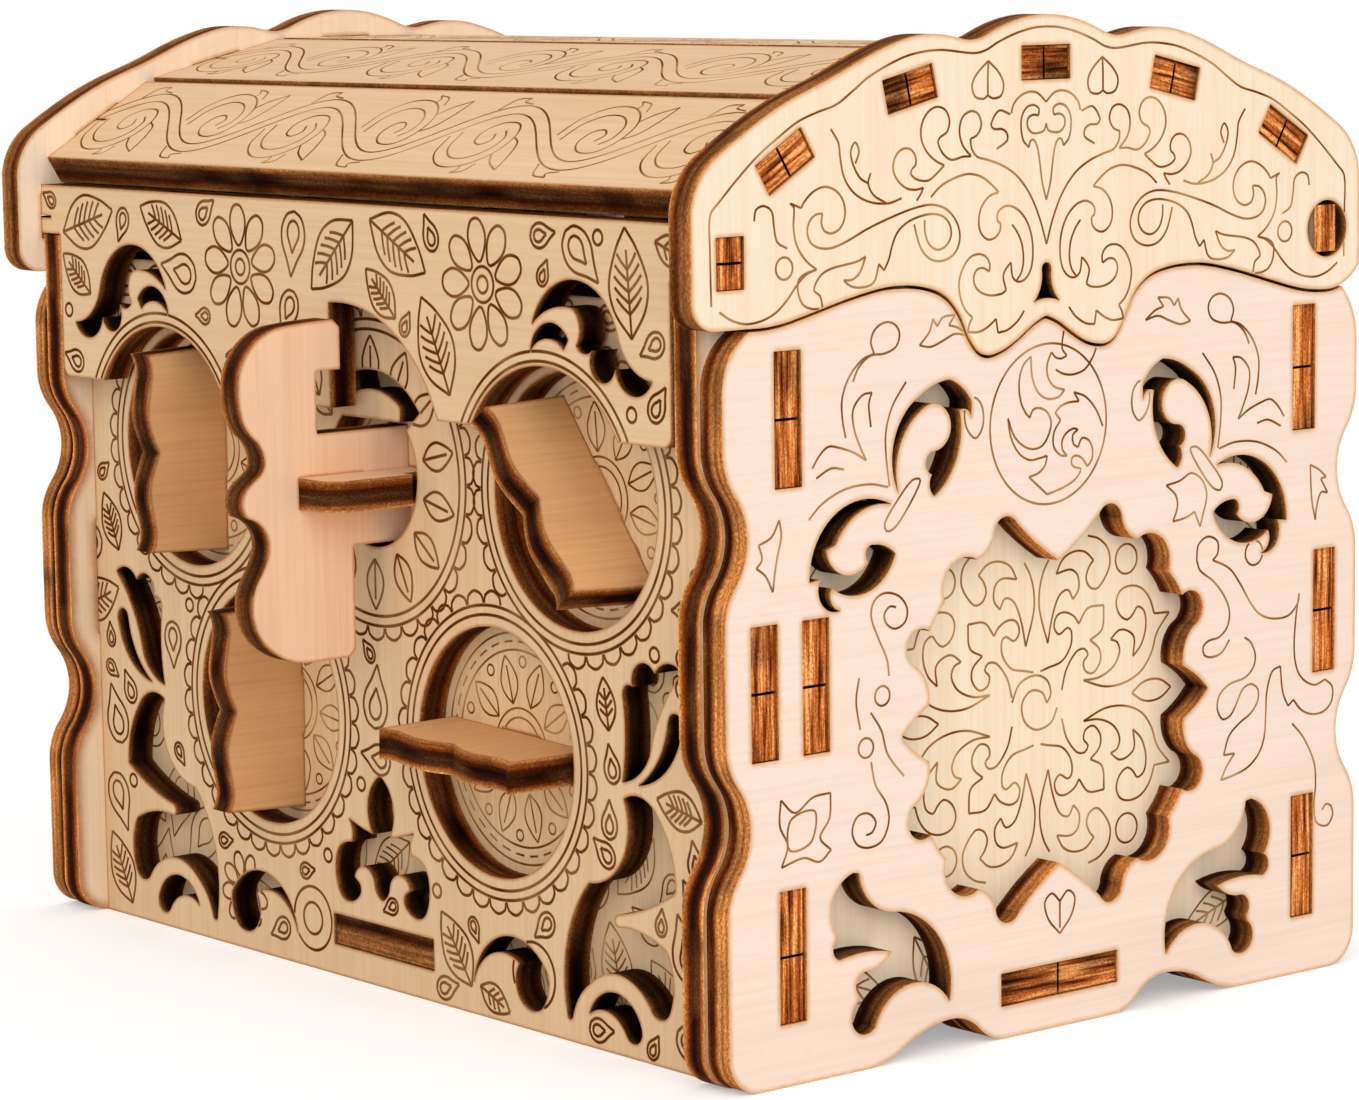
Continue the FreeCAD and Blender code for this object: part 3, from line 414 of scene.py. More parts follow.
def isOnSheet(face, point, reach=0.0):
    spots = [point]
    if reach > 0:
        spots += [(point[0] + side * reach, point[1]) for side in (-1, 1)]
        spots += [(point[0], point[1] + side * reach) for side in (-1, 1)]
    down = -face["axes"][2]
    starts = [spotOn(face, spot, rayLift) for spot in spots]
    return all(face["surface"].ray_cast(start, down, rayReach * mm)[0] for start in starts)


def smoothLine(points):
    # A rounded line through the points, closed where it ends at its start
    knots = [Vector(point) for point in points]
    if (knots[0] - knots[-1]).length < 0.01 and len(knots) > 3:
        knots = [knots[-2]] + knots + [knots[1]]
    else:
        knots = [knots[0] * 2 - knots[1]] + knots + [knots[-1] * 2 - knots[-2]]
    line = []
    for before, start, end, after in zip(knots, knots[1:], knots[2:], knots[3:]):
        span = (end - start).length
        leave = (end - before) * (span / (span + (start - before).length))
        arrive = (after - start) * (span / (span + (after - end).length))
        count = max(1, math.ceil(span / lineStep))
        for index in range(count):
            t = index / count
            line.append(start * (2 * t ** 3 - 3 * t ** 2 + 1) + leave * (t ** 3 - 2 * t ** 2 + t)
                        + end * (3 * t ** 2 - 2 * t ** 3) + arrive * (t ** 3 - t ** 2))
    line.append(knots[-2])
    return line


def lineLength(line):
    return sum((end - start).length for start, end in zip(line, line[1:]))


def cutAtHoles(face, line, reach):
    runs = []
    run = []
    last = None
    for point in line:
        isOn = isOnSheet(face, point, reach)
        if last is not None and isOn != bool(run):
            kept, lost = (point, last) if isOn else (last, point)
            for halving in range(holeHalvings):
                middle = (kept + lost) / 2
                if isOnSheet(face, middle, reach):
                    kept = middle
                else:
                    lost = middle
            if (kept - point).length > holeGap or not isOn:
                run.append(kept)
            if not isOn:
                runs.append(run)
                run = []
        if isOn:
            run.append(point)
        last = point
    runs.append(run)
    return [run for run in runs if len(run) > 1 and lineLength(run) > lineShortest]


def bodyOf(name):
    if name.startswith("lid_"):
        return "lid"
    if name.endswith("_dial"):
        return "dial_" + name[:-5]
    return "key_hub" if name == "key_hub_disc" else "box"


def makeLineMaterial(kind):
    look = burntLines[kind]
    fringe, brown, dark = (fromSrgb(*tone) for tone in look["tones"])
    material, tree, shader = newMaterial(kind + "Line")
    burn = addNode(tree, "ShaderNodeAttribute", attribute_name="burn")
    colour = rampNode(tree, burn.outputs["Fac"], (0.0, fringe), (0.34, brown), (0.7, dark))
    coordinates = addNode(tree, "ShaderNodeTexCoord")
    noise = {}
    for name, detail in (("uneven", 2), ("slow", 1)):
        stretch = addNode(tree, "ShaderNodeMapping")
        setInputs(stretch, {"Scale": (lineNoise[name],) * 3})
        wire(tree, coordinates.outputs["Object"], stretch.inputs["Vector"])
        noise[name] = noiseNode(tree, stretch.outputs["Vector"], detail)
    colour = shadeBy(tree, colour, rampNode(tree, noise["uneven"], (0.3, 0.72), (0.5, 1.0), (0.7, 1.35)))
    faint = rampNode(tree, noise["slow"], (0.42, 0), (0.66, look["fade"]))
    wire(tree, mixNode(tree, faint, colour, fringe), shader.inputs["Base Color"])
    setInputs(shader, {"Roughness": lineRoughness, "Specular IOR Level": woodGloss})
    return material


lineMaterials = {kind: makeLineMaterial(kind) for kind in burntLines}


def engrave(face, strokes, kind):
    half = burntLines[kind]["width"] / 2
    spots = []
    faces = []
    burns = []
    for stroke in strokes:
        for run in cutAtHoles(face, smoothLine(stroke), half * 0.8):
            first = len(spots)
            for index, point in enumerate(run):
                ahead = run[min(index + 1, len(run) - 1)] - run[max(index - 1, 0)]
                side = Vector((-ahead.y, ahead.x)).normalized() * half
                spots += [spotOn(face, point + side, lineBase), spotOn(face, point, lineRidge),
                          spotOn(face, point - side, lineBase)]
                burns += [0.0, 1.0, 0.0]
            for index in range(len(run) - 1):
                here = first + 3 * index
                faces += [(here + 1, here, here + 3, here + 4), (here + 2, here + 1, here + 4, here + 5),
                          (here, here + 2, here + 5, here + 3)]
            end = first + 3 * (len(run) - 1)
            faces += [(first, first + 1, first + 2), (end + 2, end + 1, end)]
    mesh = bpy.data.meshes.new("engraving_" + face["name"])
    mesh.from_pydata(spots, [], faces)
    mesh.attributes.new("burn", "FLOAT", "POINT").data.foreach_set("value", burns)
    mesh.update()
    piece = bpy.data.objects.new(mesh.name, mesh)
    bpy.context.scene.collection.objects.link(piece)
    bpy.ops.object.select_all(action="DESELECT")
    piece.select_set(True)
    bpy.context.view_layer.objects.active = piece
    bpy.ops.object.mode_set(mode="EDIT")
    bpy.ops.mesh.select_all(action="SELECT")
    bpy.ops.mesh.normals_make_consistent(inside=False)
    bpy.ops.object.mode_set(mode="OBJECT")
    mesh.materials.append(lineMaterials[kind])
    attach(piece, bodyOf(face["name"]))
    print("engraved", face["name"], "with", len(strokes), "strokes,", len(faces), "faces")


# Stroke helpers, all about a middle point
def ringLine(x, y, radius, start=0, end=360):
    count = max(8, math.ceil(abs(end - start) / 20 * max(1.0, radius / 6)))
    angles = [math.radians(start + (end - start) * index / count) for index in range(count + 1)]
    return [(x + radius * math.cos(angle), y + radius * math.sin(angle)) for angle in angles]


def leafLines(length, width, veins=0):
    # Two bowed sides from base to tip, with a midrib and side veins
    half = width / 2
    strokes = []
    for side in (half, -half):
        bow = [(side * 0.8, length * 0.25), (side, length * 0.5), (side * 0.55, length * 0.8)]
        strokes.append([(0, 0), *bow, (0, length)])
    if veins:
        strokes.append([(0, 0), (0, length * 0.4), (0, length * 0.8)])
    for index in range(1, veins):
        height = length * (0.12 + 0.6 * index / veins)
        reach = half * 0.72 * math.sin(math.pi * min(0.9, (height + length * 0.14) / length))
        for side in (-reach, reach):
            bend = (side * 0.6, height + length * 0.08)
            strokes.append([(0, height), bend, (side, height + length * 0.15)])
    return strokes


def placed(strokes, x, y, turn=0.0, scale=1.0):
    cosine = math.cos(math.radians(turn)) * scale
    sine = math.sin(math.radians(turn)) * scale
    return [[(x + u * cosine - v * sine, y + u * sine + v * cosine) for u, v in stroke] for stroke in strokes]


def flipped(strokes, acrossMiddle=True, overMiddle=False):
    return [[(-x if acrossMiddle else x, -y if overMiddle else y) for x, y in stroke] for stroke in strokes]


# Lid cheeks: hearts, a palmette, curling acanthus and long volutes, drawn for one half
cheekScrolls = [
    [(0, 124.5), (2, 124.4), (5, 123.8), (8, 122.8), (10, 121.9), (12, 121.6), (17, 122.1), (20, 122),
     (23, 121.5), (26, 120.5), (29, 119.2), (31.4, 117.7), (34, 116.2), (37, 115.4), (40, 114.4),
     (43, 112.7), (46, 110.8), (49, 108.4), (52, 105.7)],
    [(52, 105.7), (53.4, 104.2), (53.5, 100.2), (53.4, 93.7)],
    [(9.6, 120.6), (11.4, 119.2), (12.3, 117.8), (11.8, 116.4), (10.4, 116.1), (9.7, 116.5)],
    [(9.6, 120.6), (7.9, 119.2), (7.1, 117.8), (7.5, 116.4), (8.9, 116.1), (9.7, 116.5)],
    [(9.6, 120.6), (9.7, 118.6), (9.7, 116.5)],
    [(0, 115.4), (1.4, 116.5), (2.9, 116.7), (4.4, 116.2), (5.5, 115.2), (5.8, 114.2)],
    [(6, 114.1), (7.9, 114.6), (9.2, 113), (8.7, 112.4), (7.5, 112.4), (6.6, 111.9), (6.5, 111), (8.3, 110)],
    [(1.3, 113.8), (1.2, 114.6), (2.1, 115.1), (3.3, 114.8), (4.1, 113.7), (4.2, 112.2), (3.8, 110.8),
     (2.9, 110)],
    [(2.9, 110), (2.7, 110.7), (2.1, 110.9), (1.5, 110), (1.1, 108.2), (0.7, 105.7), (0, 103.5)],
    [(0, 112.8), (0.3, 112), (1.1, 111.7), (2.3, 111.7), (3.1, 112.4), (3.1, 113.4), (2.3, 113.9),
     (1.3, 113.8)],
    [(0, 98.1), (1.1, 101.2), (2.7, 104.2), (4.9, 106.6), (7.4, 108), (9.9, 108.8), (11.5, 109.2),
     (12.4, 110.2), (12.6, 111.4)],
    [(12.6, 111.4), (11.5, 111.8), (10.8, 113), (11.3, 114.3), (12.5, 114.7), (13.9, 114), (14.4, 112.4),
     (13.9, 110.7), (12.5, 109.3)],
    [(12.5, 109.3), (13.9, 109.3), (15.7, 109), (17.1, 109.8), (17.9, 111.2), (17.5, 111.8)],
    [(17.5, 111.8), (16.4, 112.4), (16, 113.7), (16.7, 115), (18.1, 115.4), (19.5, 114.8), (20.5, 113.4),
     (20.6, 111.7), (19.7, 110.1), (18.3, 109), (16.9, 108.4)],
    [(16.9, 108.4), (18.1, 107.5), (19.5, 106.7), (21.3, 106.9), (22.3, 107.6), (22.1, 108.2)],
    [(22.1, 108.2), (21.5, 108.7), (21.6, 109.8), (22.5, 110.6), (23.9, 110.5), (24.9, 109.5), (25.1, 108.1),
     (24.3, 106.8), (22.9, 105.9), (21.4, 105.7), (20.3, 105.9)],
    [(20.3, 105.9), (20.7, 105.2), (21.4, 104.4)],
    [(19.1, 104.7), (17.4, 106), (14.9, 106.9), (12.9, 107.2), (10.9, 106.8), (9.2, 105.8), (8, 104.8)],
    [(8, 104.8), (9.5, 104.4), (10.8, 103.2), (11.3, 101.6), (11, 100.1), (9.9, 99.2), (8.7, 99.3),
     (7.8, 100.1), (7.7, 101)],
    [(7.7, 101), (8.2, 101.4), (8.2, 102.2), (7.6, 102.8), (6.5, 103.1), (4.9, 102.6), (3.4, 101.2),
     (2.5, 99.2), (2.3, 97), (2.7, 95.1), (3.7, 94), (4.9, 93.8), (5.7, 94.4), (6, 96.2)],
    [(6, 96.2), (6.8, 95.5), (7.3, 94.6), (6.8, 92.9)],
    [(6.8, 92.9), (7.5, 92.5), (9.4, 92.4), (10.9, 92.8), (11.9, 93.6), (12.2, 94.7), (11.7, 95.6),
     (10.7, 95.8), (9.6, 95.3)],
    [(9.6, 95.3), (9.5, 96.2), (10.1, 97.1), (11.3, 97.5), (12.7, 97.2), (13.9, 96), (14.6, 94.2),
     (14.3, 92.2), (13.5, 90.8), (12.4, 89.9)],
    [(12.4, 89.9), (12.9, 89.2), (13.2, 88.2)],
    [(13.2, 88.2), (11.4, 88.1), (9.9, 88.6), (8.5, 89.5)],
    [(8.5, 89.5), (8.2, 87.8)],
    [(8.2, 87.8), (6.7, 88), (4.9, 89), (3.8, 90.2)],
    [(5.8, 100.8), (4.9, 99.8), (4.1, 98.2), (3.9, 96.2), (4.3, 94.8), (5.1, 93.9)],
    [(36.3, 103.6), (37.4, 103.5), (38.3, 102.8), (38.7, 101.6), (38.2, 100.3), (36.9, 99.6), (34.9, 99.5),
     (32.4, 100.2), (29.4, 101.4), (25.9, 102.5), (21.9, 103.5), (18.9, 103.8), (16.7, 103.2), (15.1, 101.8),
     (14.4, 100), (14.8, 98.4), (15.9, 97.4), (17.7, 97), (19.4, 97.4), (20.7, 98.6), (21.4, 100.2),
     (21.8, 101.6)],
    [(20.1, 102), (20.1, 100.7), (19.5, 99.2), (18.2, 98.4), (16.8, 98.7), (15.9, 99.8), (16, 101.2),
     (17.1, 102.3), (18.9, 102.7), (20.9, 102.5), (22.9, 101.9), (24.5, 100.8), (25.4, 99.2), (25.9, 97.7),
     (26.7, 96.4)],
    [(26.7, 96.4), (27.5, 97.2)],
    [(27.5, 97.2), (28.3, 95.1), (29.9, 94.6), (31.9, 94.8), (33.1, 95.6)],
    [(33.1, 95.6), (31.7, 95.6), (30.5, 96.4), (29.6, 98.2)],
    [(29.6, 98.2), (30.9, 97.7), (32.9, 97.4), (34.9, 97.1), (36.5, 96.5), (37.5, 95.4), (37.7, 94.6),
     (36.8, 94), (36.4, 92.5)],
    [(36.4, 92.5), (37.9, 92.5), (39.3, 93), (40.1, 94.2), (40.2, 95.8), (39.3, 96.6), (37.3, 97.1)],
    [(36.3, 103.6), (36.5, 102.6), (36.1, 101.6), (34.9, 101.2), (33.5, 101.8), (32.8, 103.2), (33, 104.8),
     (34.1, 106.1), (35.9, 106.7), (37.7, 106.2), (39.1, 105.1), (39.6, 104.4)],
    [(39.6, 104.4), (41.3, 105)],
    [(41.3, 105), (40.7, 104.5), (40.8, 102.2), (40.3, 100), (38.9, 98.2), (37.3, 97.1)],
    [(37.3, 97.1), (38.9, 96.6), (40.4, 95.4), (41.9, 93.8), (43.7, 92.4), (45.9, 91.6), (48.3, 91.4),
     (50.5, 92), (52.2, 93)],
    [(23.8, 104.8), (25.9, 104.3), (28.9, 104.6), (31.4, 105.8), (32.9, 107.7), (33.5, 110.2), (33.7, 111.7),
     (34.9, 113.4)],
    [(26.4, 104.4), (28.3, 105.4), (29.1, 106.8), (28.7, 108)],
    [(29.1, 106.8), (30.4, 107.5), (31.5, 109.2), (31.8, 110.7), (31.1, 111.7), (30.5, 110.6), (31.1, 109.2)],
    [(46.8, 103.2), (46.5, 104.5), (45.3, 104.9), (44.1, 104.2), (43.8, 102.4), (43.3, 100.6), (41.8, 99.8)],
    ringLine(42.3, 97.5, 1.3),
]
cheekStrokes = cheekScrolls + flipped(cheekScrolls)

# Outer sides: sprigs of both halves, then the scrolls of the hinge half and the tendrils of the front half
sideSprigs = [
    [(15.1, 87.7), (16.8, 88.8), (18.3, 89.2)],
    [(18.3, 89.2), (17.3, 90.4)],
    [(17.3, 90.4), (19.3, 90.2), (20.2, 89.2)],
    [(20.2, 89.2), (20.9, 90.1)],
    [(20.9, 90.1), (21.5, 88.6), (23.1, 87.1)],
    [(23.1, 87.1), (21.3, 86.8), (19.3, 87.4), (17.3, 88.1), (15.1, 87.7)],
    [(33.8, 83.5), (32.8, 85.2), (31, 86.4), (28.8, 86.5), (26.9, 87.2), (26.3, 88.7), (27.1, 89.9),
     (28.7, 90.2), (30.3, 89.4), (30.9, 88), (30.4, 86.6)],
    [(30.4, 86.6), (32.3, 86), (34.3, 84.2), (35.5, 81.7), (35.5, 79.2), (35, 76.9)],
    [(25.3, 82.9), (27.5, 80.2), (28.6, 77.2), (28.6, 74.2), (28.1, 70.6)],
    [(30.8, 82), (32.3, 81.8), (33.8, 80.2), (33.7, 78), (32.8, 75.8), (31.8, 74)],
    [(30.8, 82), (31.3, 80.7), (31, 77.9)],
    [(31.8, 74), (33.8, 75.1), (36.3, 75.9), (37.8, 76.1), (39.3, 75), (40.3, 73.7)],
    [(35.3, 73.2), (37.3, 73.5), (39.7, 72.5)],
    [(28.3, 70.5), (31.3, 71.1), (35.3, 70.8), (38.8, 69.4), (40.9, 67.7)],
    [(23.1, 70.9), (24.4, 71), (26.8, 68.8), (28.9, 66.2), (28.6, 65.2), (27.2, 65.6), (24.8, 68.2),
     (23.1, 70.9)],
    [(14.2, 80.2), (15.7, 79), (15.5, 76.6), (14, 75.2), (12.8, 76.6), (12.9, 79), (14.2, 80.2)],
]
hingeHalf = [
    [(18.8, 66.6), (21.3, 67), (23.3, 67.8), (25.3, 66.7), (26.1, 64.7), (25.3, 62), (24.9, 60.8)],
    [(24.9, 60.8), (23.9, 62.8)],
    [(23.9, 62.8), (22.3, 62.2), (20, 61.9)],
    [(20, 61.9), (20.8, 63.7), (20.5, 65.2), (18.8, 66.6)],
    ringLine(34.8, 56.5, 1.6),
    [(24.3, 56.6), (24.6, 58.5), (26.3, 59.4), (28.1, 58.6), (28.1, 57), (27.2, 56.3)],
    [(27.2, 56.3), (30.3, 54.9), (32.3, 52.7), (34.1, 50.2), (35.8, 48.5), (38.3, 47.6), (41.3, 47.7),
     (43.1, 49.2), (43.3, 50.4)],
    [(43.3, 50.4), (42.7, 47.2), (42.4, 43.2), (42.9, 40.6), (44.1, 39), (46.3, 38), (48.3, 38.5)],
    [(48.3, 38.5), (49.7, 37.4), (49.6, 35.5), (48.1, 34.3), (45.8, 34.2), (43.8, 35), (42.3, 36.5)],
    [(42.3, 36.5), (41.3, 35.8)],
    [(41.3, 35.8), (40.3, 37.7), (39.8, 41.2)],
    [(24.3, 56.6), (24.9, 55.2), (27.3, 53.6), (29.3, 51.5), (30.3, 49.4), (29.9, 47.4), (28.3, 46.2),
     (26.6, 46), (25.5, 45.3), (25.7, 44.2), (27.1, 43.8), (28.9, 44.2), (30.3, 45.7)],
    [(39.8, 41.2), (38.3, 40.7), (37.3, 38.2), (37.1, 35.2), (36.8, 32.2), (35.8, 30.2), (33.8, 28.7),
     (31.3, 28), (28.8, 27.6)],
    [(28.8, 27.6), (29.8, 29.2), (31.3, 30.8)],
    [(31.3, 30.8), (29.3, 30.8)],
    [(29.3, 30.8), (30.3, 33.2), (32.3, 34.7), (34.3, 35.7), (35.6, 37.2), (35.6, 38.7), (34.3, 39.5),
     (32.8, 39), (31.6, 37.2), (30.6, 35.9), (29.1, 35.5), (28.1, 37), (28.5, 38.7), (30.3, 39.9),
     (33.3, 40.5), (34.8, 41.7), (35.1, 43.2), (34.3, 44.9), (33.1, 45.7)],
    [(42.1, 33.4), (44.3, 31.2), (46.3, 27.7), (46.6, 24.7), (46.3, 22), (46.8, 19.7), (48.8, 19),
     (49.9, 20.2), (49.6, 21.5), (48.6, 21.9), (47.9, 21.2)],
    [(45.3, 67), (47, 66.2), (48.3, 65.2)],
    [(48.3, 65.2), (47.3, 65)],
    [(47.3, 65), (48.6, 63.1)],
    [(48.6, 63.1), (47.3, 63.2), (46.5, 61.2), (46.3, 59.7)],
    [(46.3, 59.7), (45.6, 62.5), (45.3, 67)],
]
frontHalf = [
    [(-45.5, 68.1), (-46.7, 66.2), (-48.7, 65.4)],
    [(-48.7, 65.4), (-48.2, 63.7), (-49.1, 62.7)],
    [(-49.1, 62.7), (-47.7, 61.7), (-46.6, 59.7)],
    [(-46.6, 59.7), (-46, 63.2), (-45.2, 66.2), (-45.5, 68.1)],
    [(-28.4, 47.7), (-28.7, 49.7), (-30.2, 52.7), (-31.2, 55.2), (-30.7, 57), (-29, 57.8), (-26.7, 57.2),
     (-25.4, 55.6), (-25.7, 54), (-27.3, 53.3), (-28.7, 54), (-29.1, 55.2), (-28.2, 56.1), (-27.2, 55.9)],
    ringLine(-29.5, 45.4, 1.2),
    ringLine(-32.2, 39.4, 1.2),
    [(-33.2, 48), (-33.7, 45.2), (-33.1, 41.7)],
    [(-31.4, 43.6), (-29.7, 41.2), (-28.7, 38.2), (-26.1, 35.2)],
    [(-31.4, 37.6), (-30.7, 34.7), (-29, 32.2), (-28.6, 30), (-29.7, 27.8), (-31.7, 27.2), (-33.7, 27.8),
     (-34.5, 29.5), (-33.7, 31.2), (-31.9, 31.4), (-30.7, 30.2), (-31.3, 29), (-32.3, 28.8)],
    [(-45.7, 34.8), (-43.5, 33), (-40.7, 34.5), (-37.9, 34.7)],
    [(-37.9, 34.7), (-38.1, 31.7), (-39.6, 29.5), (-37.9, 27.8)],
    [(-37.9, 27.8), (-39.7, 26.6), (-42.2, 27.4), (-45.7, 26.7)],
    [(-45.7, 26.7), (-44.7, 29.2), (-45.9, 31.7), (-45.7, 34.8)],
    [(-44.2, 32.2), (-40.4, 32.8), (-41, 29.2), (-44.4, 28.6), (-44.2, 32.2)],
]
sideMiddle = [
    ringLine(-1.7, 76, 9.9),
    [(-4.7, 84.5), (-6, 83.5), (-6.7, 81.5), (-6.4, 79), (-5.5, 77.5), (-4.9, 77)],
    [(-4.9, 77), (-4.4, 77.9), (-3.4, 78.1), (-2, 77.5), (-1.3, 76.2), (-1.7, 74.7), (-2.8, 73.4),
     (-4.4, 73.1), (-6, 73.6), (-7.6, 75), (-8.6, 77.2)],
    [(-8.6, 77.2), (-8.1, 74.8), (-6.8, 72.8), (-5, 71.8), (-3.2, 71.9), (-2, 72.1)],
    [(-2, 72.1), (-2.3, 71), (-3.4, 70.1), (-5.1, 69.7)],
    [(-5.1, 69.7), (-2, 67.3)],
    [(-2, 67.3), (1, 68), (3, 68.9), (3.8, 70), (2.9, 70.2), (2.2, 70.7), (2.3, 71.5), (3, 71.7), (4, 71.3),
     (4.9, 70.2)],
    [(4.9, 70.2), (5.7, 71), (5.8, 72.3), (5.2, 73.4), (4, 73.8), (3.3, 72.7)],
    [(3.3, 72.7), (2.5, 73.2), (2.4, 74.3), (3.3, 74.9)],
    [(3.3, 74.9), (2.6, 75.1), (1.4, 74.7), (0.6, 73.8), (0.6, 72.7), (1.4, 71.8)],
    [(1.4, 71.8), (0.2, 72), (-0.9, 73.2), (-0.8, 74.9), (0.3, 76.3)],
    [(0.3, 76.3), (-0.6, 77.3)],
    [(-0.6, 77.3), (0.3, 78), (1.8, 78.4), (3.5, 78.4)],
    [(3.5, 78.4), (2.6, 79.6)],
    [(2.6, 79.6), (4.6, 78.9), (6.4, 77.2), (7.6, 75)],
    [(-4.7, 84.5), (-4.5, 82), (-3.5, 80), (-1.9, 79.1), (0, 79.2), (1, 80)],
    [(1, 80), (-0.9, 80.6), (-1.9, 82), (-1.9, 83.5), (-1.2, 84.8)],
    [(-1.2, 84.8), (-0.5, 84.1), (0.5, 83.9), (1.4, 84.2)],
    [(1.4, 84.2), (0.6, 85.2), (0.9, 87.3)],
    [(-0.5, 82.6), (0.8, 82), (2.5, 81.8), (4.5, 82.3), (5.8, 83.6), (6.5, 84.9)],
    [(0, 16), (1.4, 17.2), (2.6, 16.2), (2, 14), (0, 11.9)],
    [(0, 16), (-1.4, 17.2), (-2.6, 16.2), (-2, 14), (0, 11.9)],
    [(0, 16), (0, 14), (0, 12.6)],
]
sideStrokes = sideSprigs + flipped(sideSprigs) + hingeHalf + frontHalf + sideMiddle

# Inner sides: a four-fold arabesque behind the lobed window, drawn for one quarter about the window's middle
windowQuarter = [
    [(1.9, 8), (0.5, 12.3), (0.5, 14.8), (1.1, 16.9), (2.1, 18.5)],
    [(1.9, 8), (2.7, 11.3), (3.9, 13.8), (5.4, 14.4), (6.3, 13.1)],
    [(6.3, 13.1), (7.3, 14.3), (7.1, 16.1), (5.9, 16.9), (3.4, 16.6)],
    [(3.4, 16.6), (4.5, 18.3), (6.4, 19.1), (8.4, 18.9), (9.9, 17.7)],
    [(9.9, 17.7), (9.1, 16.9), (8.6, 15.5), (9.3, 14.3), (10.7, 14.1), (12.7, 16.6), (12.5, 18.8),
     (10.9, 20.3), (8.9, 20.9)],
    [(7.3, 9.9), (8.9, 11.7), (11.7, 11.8)],
    [(11.7, 11.8), (11.4, 8.8), (9.3, 7.6)],
    [(9.3, 7.6), (10.9, 6.3), (11.1, 4.8), (9.9, 3.4), (8.5, 3.7), (8.1, 4.9), (8.9, 5.8), (8.3, 6.6),
     (6.9, 6.4), (5.1, 4.3), (4.3, 1.8)],
    [(0.6, 4.6), (1.9, 4.9), (4.4, 5.5), (5.9, 7.3), (6, 9.1), (5.3, 9.6), (3.9, 8.9), (3, 9.9), (3.5, 11.3),
     (4.9, 11.6), (6.5, 10.9), (7.3, 9.9)],
    [(8.1, 2.6), (10.9, 2.7), (13.4, 3.8), (14.5, 5.5), (14.1, 6.8), (12.9, 7.3)],
    [(12.9, 7.3), (14.4, 8.3), (15.9, 8.1), (17.1, 7.1), (16.9, 4.7)],
    [(16.9, 4.7), (18.4, 6.1), (19.2, 8.3), (18.9, 10.3), (17.7, 11), (16.9, 10.1), (15.9, 9.5),
     (14.5, 10.3), (13.9, 11.9), (14.6, 13.3), (16.4, 13.8), (18.4, 13.3), (19.9, 11.8), (20.7, 9.8)],
    [(20.7, 9.8), (23.4, 9.7)],
    [(23.4, 9.7), (21.2, 7.3), (20.2, 4.8), (18.4, 2.7), (15.4, 1.5), (11.9, 1.4), (8.1, 2.6)],
    [(16.7, 0), (18.5, 1.1), (20.2, 1.4), (22, 1.1), (23.7, 0)],
    ringLine(15.7, 17.3, 1.9),
]
windowHeart = [
    [(3.5, -0.3), (2.4, -2.1), (-0.1, -2.7), (-2.1, -1.5), (-2.6, 0.8), (-1.1, 2.3), (0.9, 1.9), (1.7, 0.5)],
    [(1.7, 0.5), (2.4, 1.6), (1.7, 3.4), (-0.4, 4.2), (-3, 3.4), (-4.3, 1.2)],
]
windowStrokes = list(windowHeart)
for acrossMiddle, overMiddle in ((False, False), (True, False), (False, True), (True, True)):
    windowStrokes += flipped(windowQuarter, acrossMiddle, overMiddle)
leafVein = (13, 5, 5)  # length, width and veins
innerVeins = []
for x, z, turn in ((21, 14, 150), (38, 12, 110), (44, 46, 170), (12, 70, 30), (30, 64, 60), (40, 58, 20)):
    for side in (1, -1):
        innerVeins += placed(leafLines(*leafVein), side * x, z, side * turn)

# Lid slats: a running vine with curls in its hollows and leaf tips outside
vine = {"half": 20.6, "rise": 5.8, "stem": (-0.95, 0.95), "steps": 8}
vineCurl = [
    [(-8.2, -0.6), (-7.2, -4.4), (-3.6, -7), (0.9, -6.8), (4.2, -4), (4.7, -0.2), (2.8, 2.6), (-0.5, 2.8),
     (-2.6, 0.9), (-2.2, -1.4), (-0.4, -2.1), (0.9, -1), (0.2, 0.4)],
    [(-6.6, 0.4), (-5.8, -3), (-3.2, -5.1), (0.2, -5), (2.6, -3), (2.9, -0.4), (1.6, 1.1)],
    [(4.2, -4), (5.8, -5.8), (8.6, -7.4)],
    [(8.6, -7.4), (7.9, -4.2), (6.6, -1.4), (4.7, -0.2)],
    [(3.4, -6.2), (2.6, -7.9), (0.4, -8.4)],
    [(0.4, -8.4), (1.2, -7.6), (0.9, -6.8)],
    [(-5, 5.6), (-3.6, 8), (-1, 8.4)],
    [(-1, 8.4), (-1.6, 7.6), (0.6, 7.1)],
]


def vineStrokes(span):
    strokes = []
    halves = math.floor(span / vine["half"])
    start = -halves * vine["half"] / 2
    for shift in vine["stem"]:
        stem = []
        for index in range(halves * vine["steps"] + 1):
            share = index / vine["steps"]
            lean = math.atan2(vine["rise"] * math.pi / vine["half"] * math.cos(math.pi * share), 1)
            stem.append((start + vine["half"] * share - shift * math.sin(lean),
                         vine["rise"] * math.sin(math.pi * share) + shift * math.cos(lean)))
        strokes.append(stem)
    for index in range(halves):
        middle = start + vine["half"] * (index + 0.5)
        strokes += placed(flipped(vineCurl, False, True) if index % 2 else vineCurl, middle, 0)
    return strokes


# Front, skirt and carrier: scattered garden motifs, largest first; each comes with the discs that it fills
def daisy(radius):
    count = 9 if radius > 5 else 7
    base = radius * 0.34
    half = radius * 0.62 * math.sin(math.pi / count)
    side = [(half * 0.8, base + radius * 0.2), (half, base + radius * 0.42), (half * 0.55, radius * 0.96)]
    petal = [(0, base), *side, (0, radius), *reversed(flipped([side])[0]), (0, base)]
    strokes = [ringLine(0, 0, radius * 0.27)]
    if radius > 4:
        strokes.append(ringLine(0, 0, radius * 0.13))
    for index in range(count):
        strokes += placed([petal], 0, 0, 360 * index / count)
    return strokes, [(0, 0, radius)]


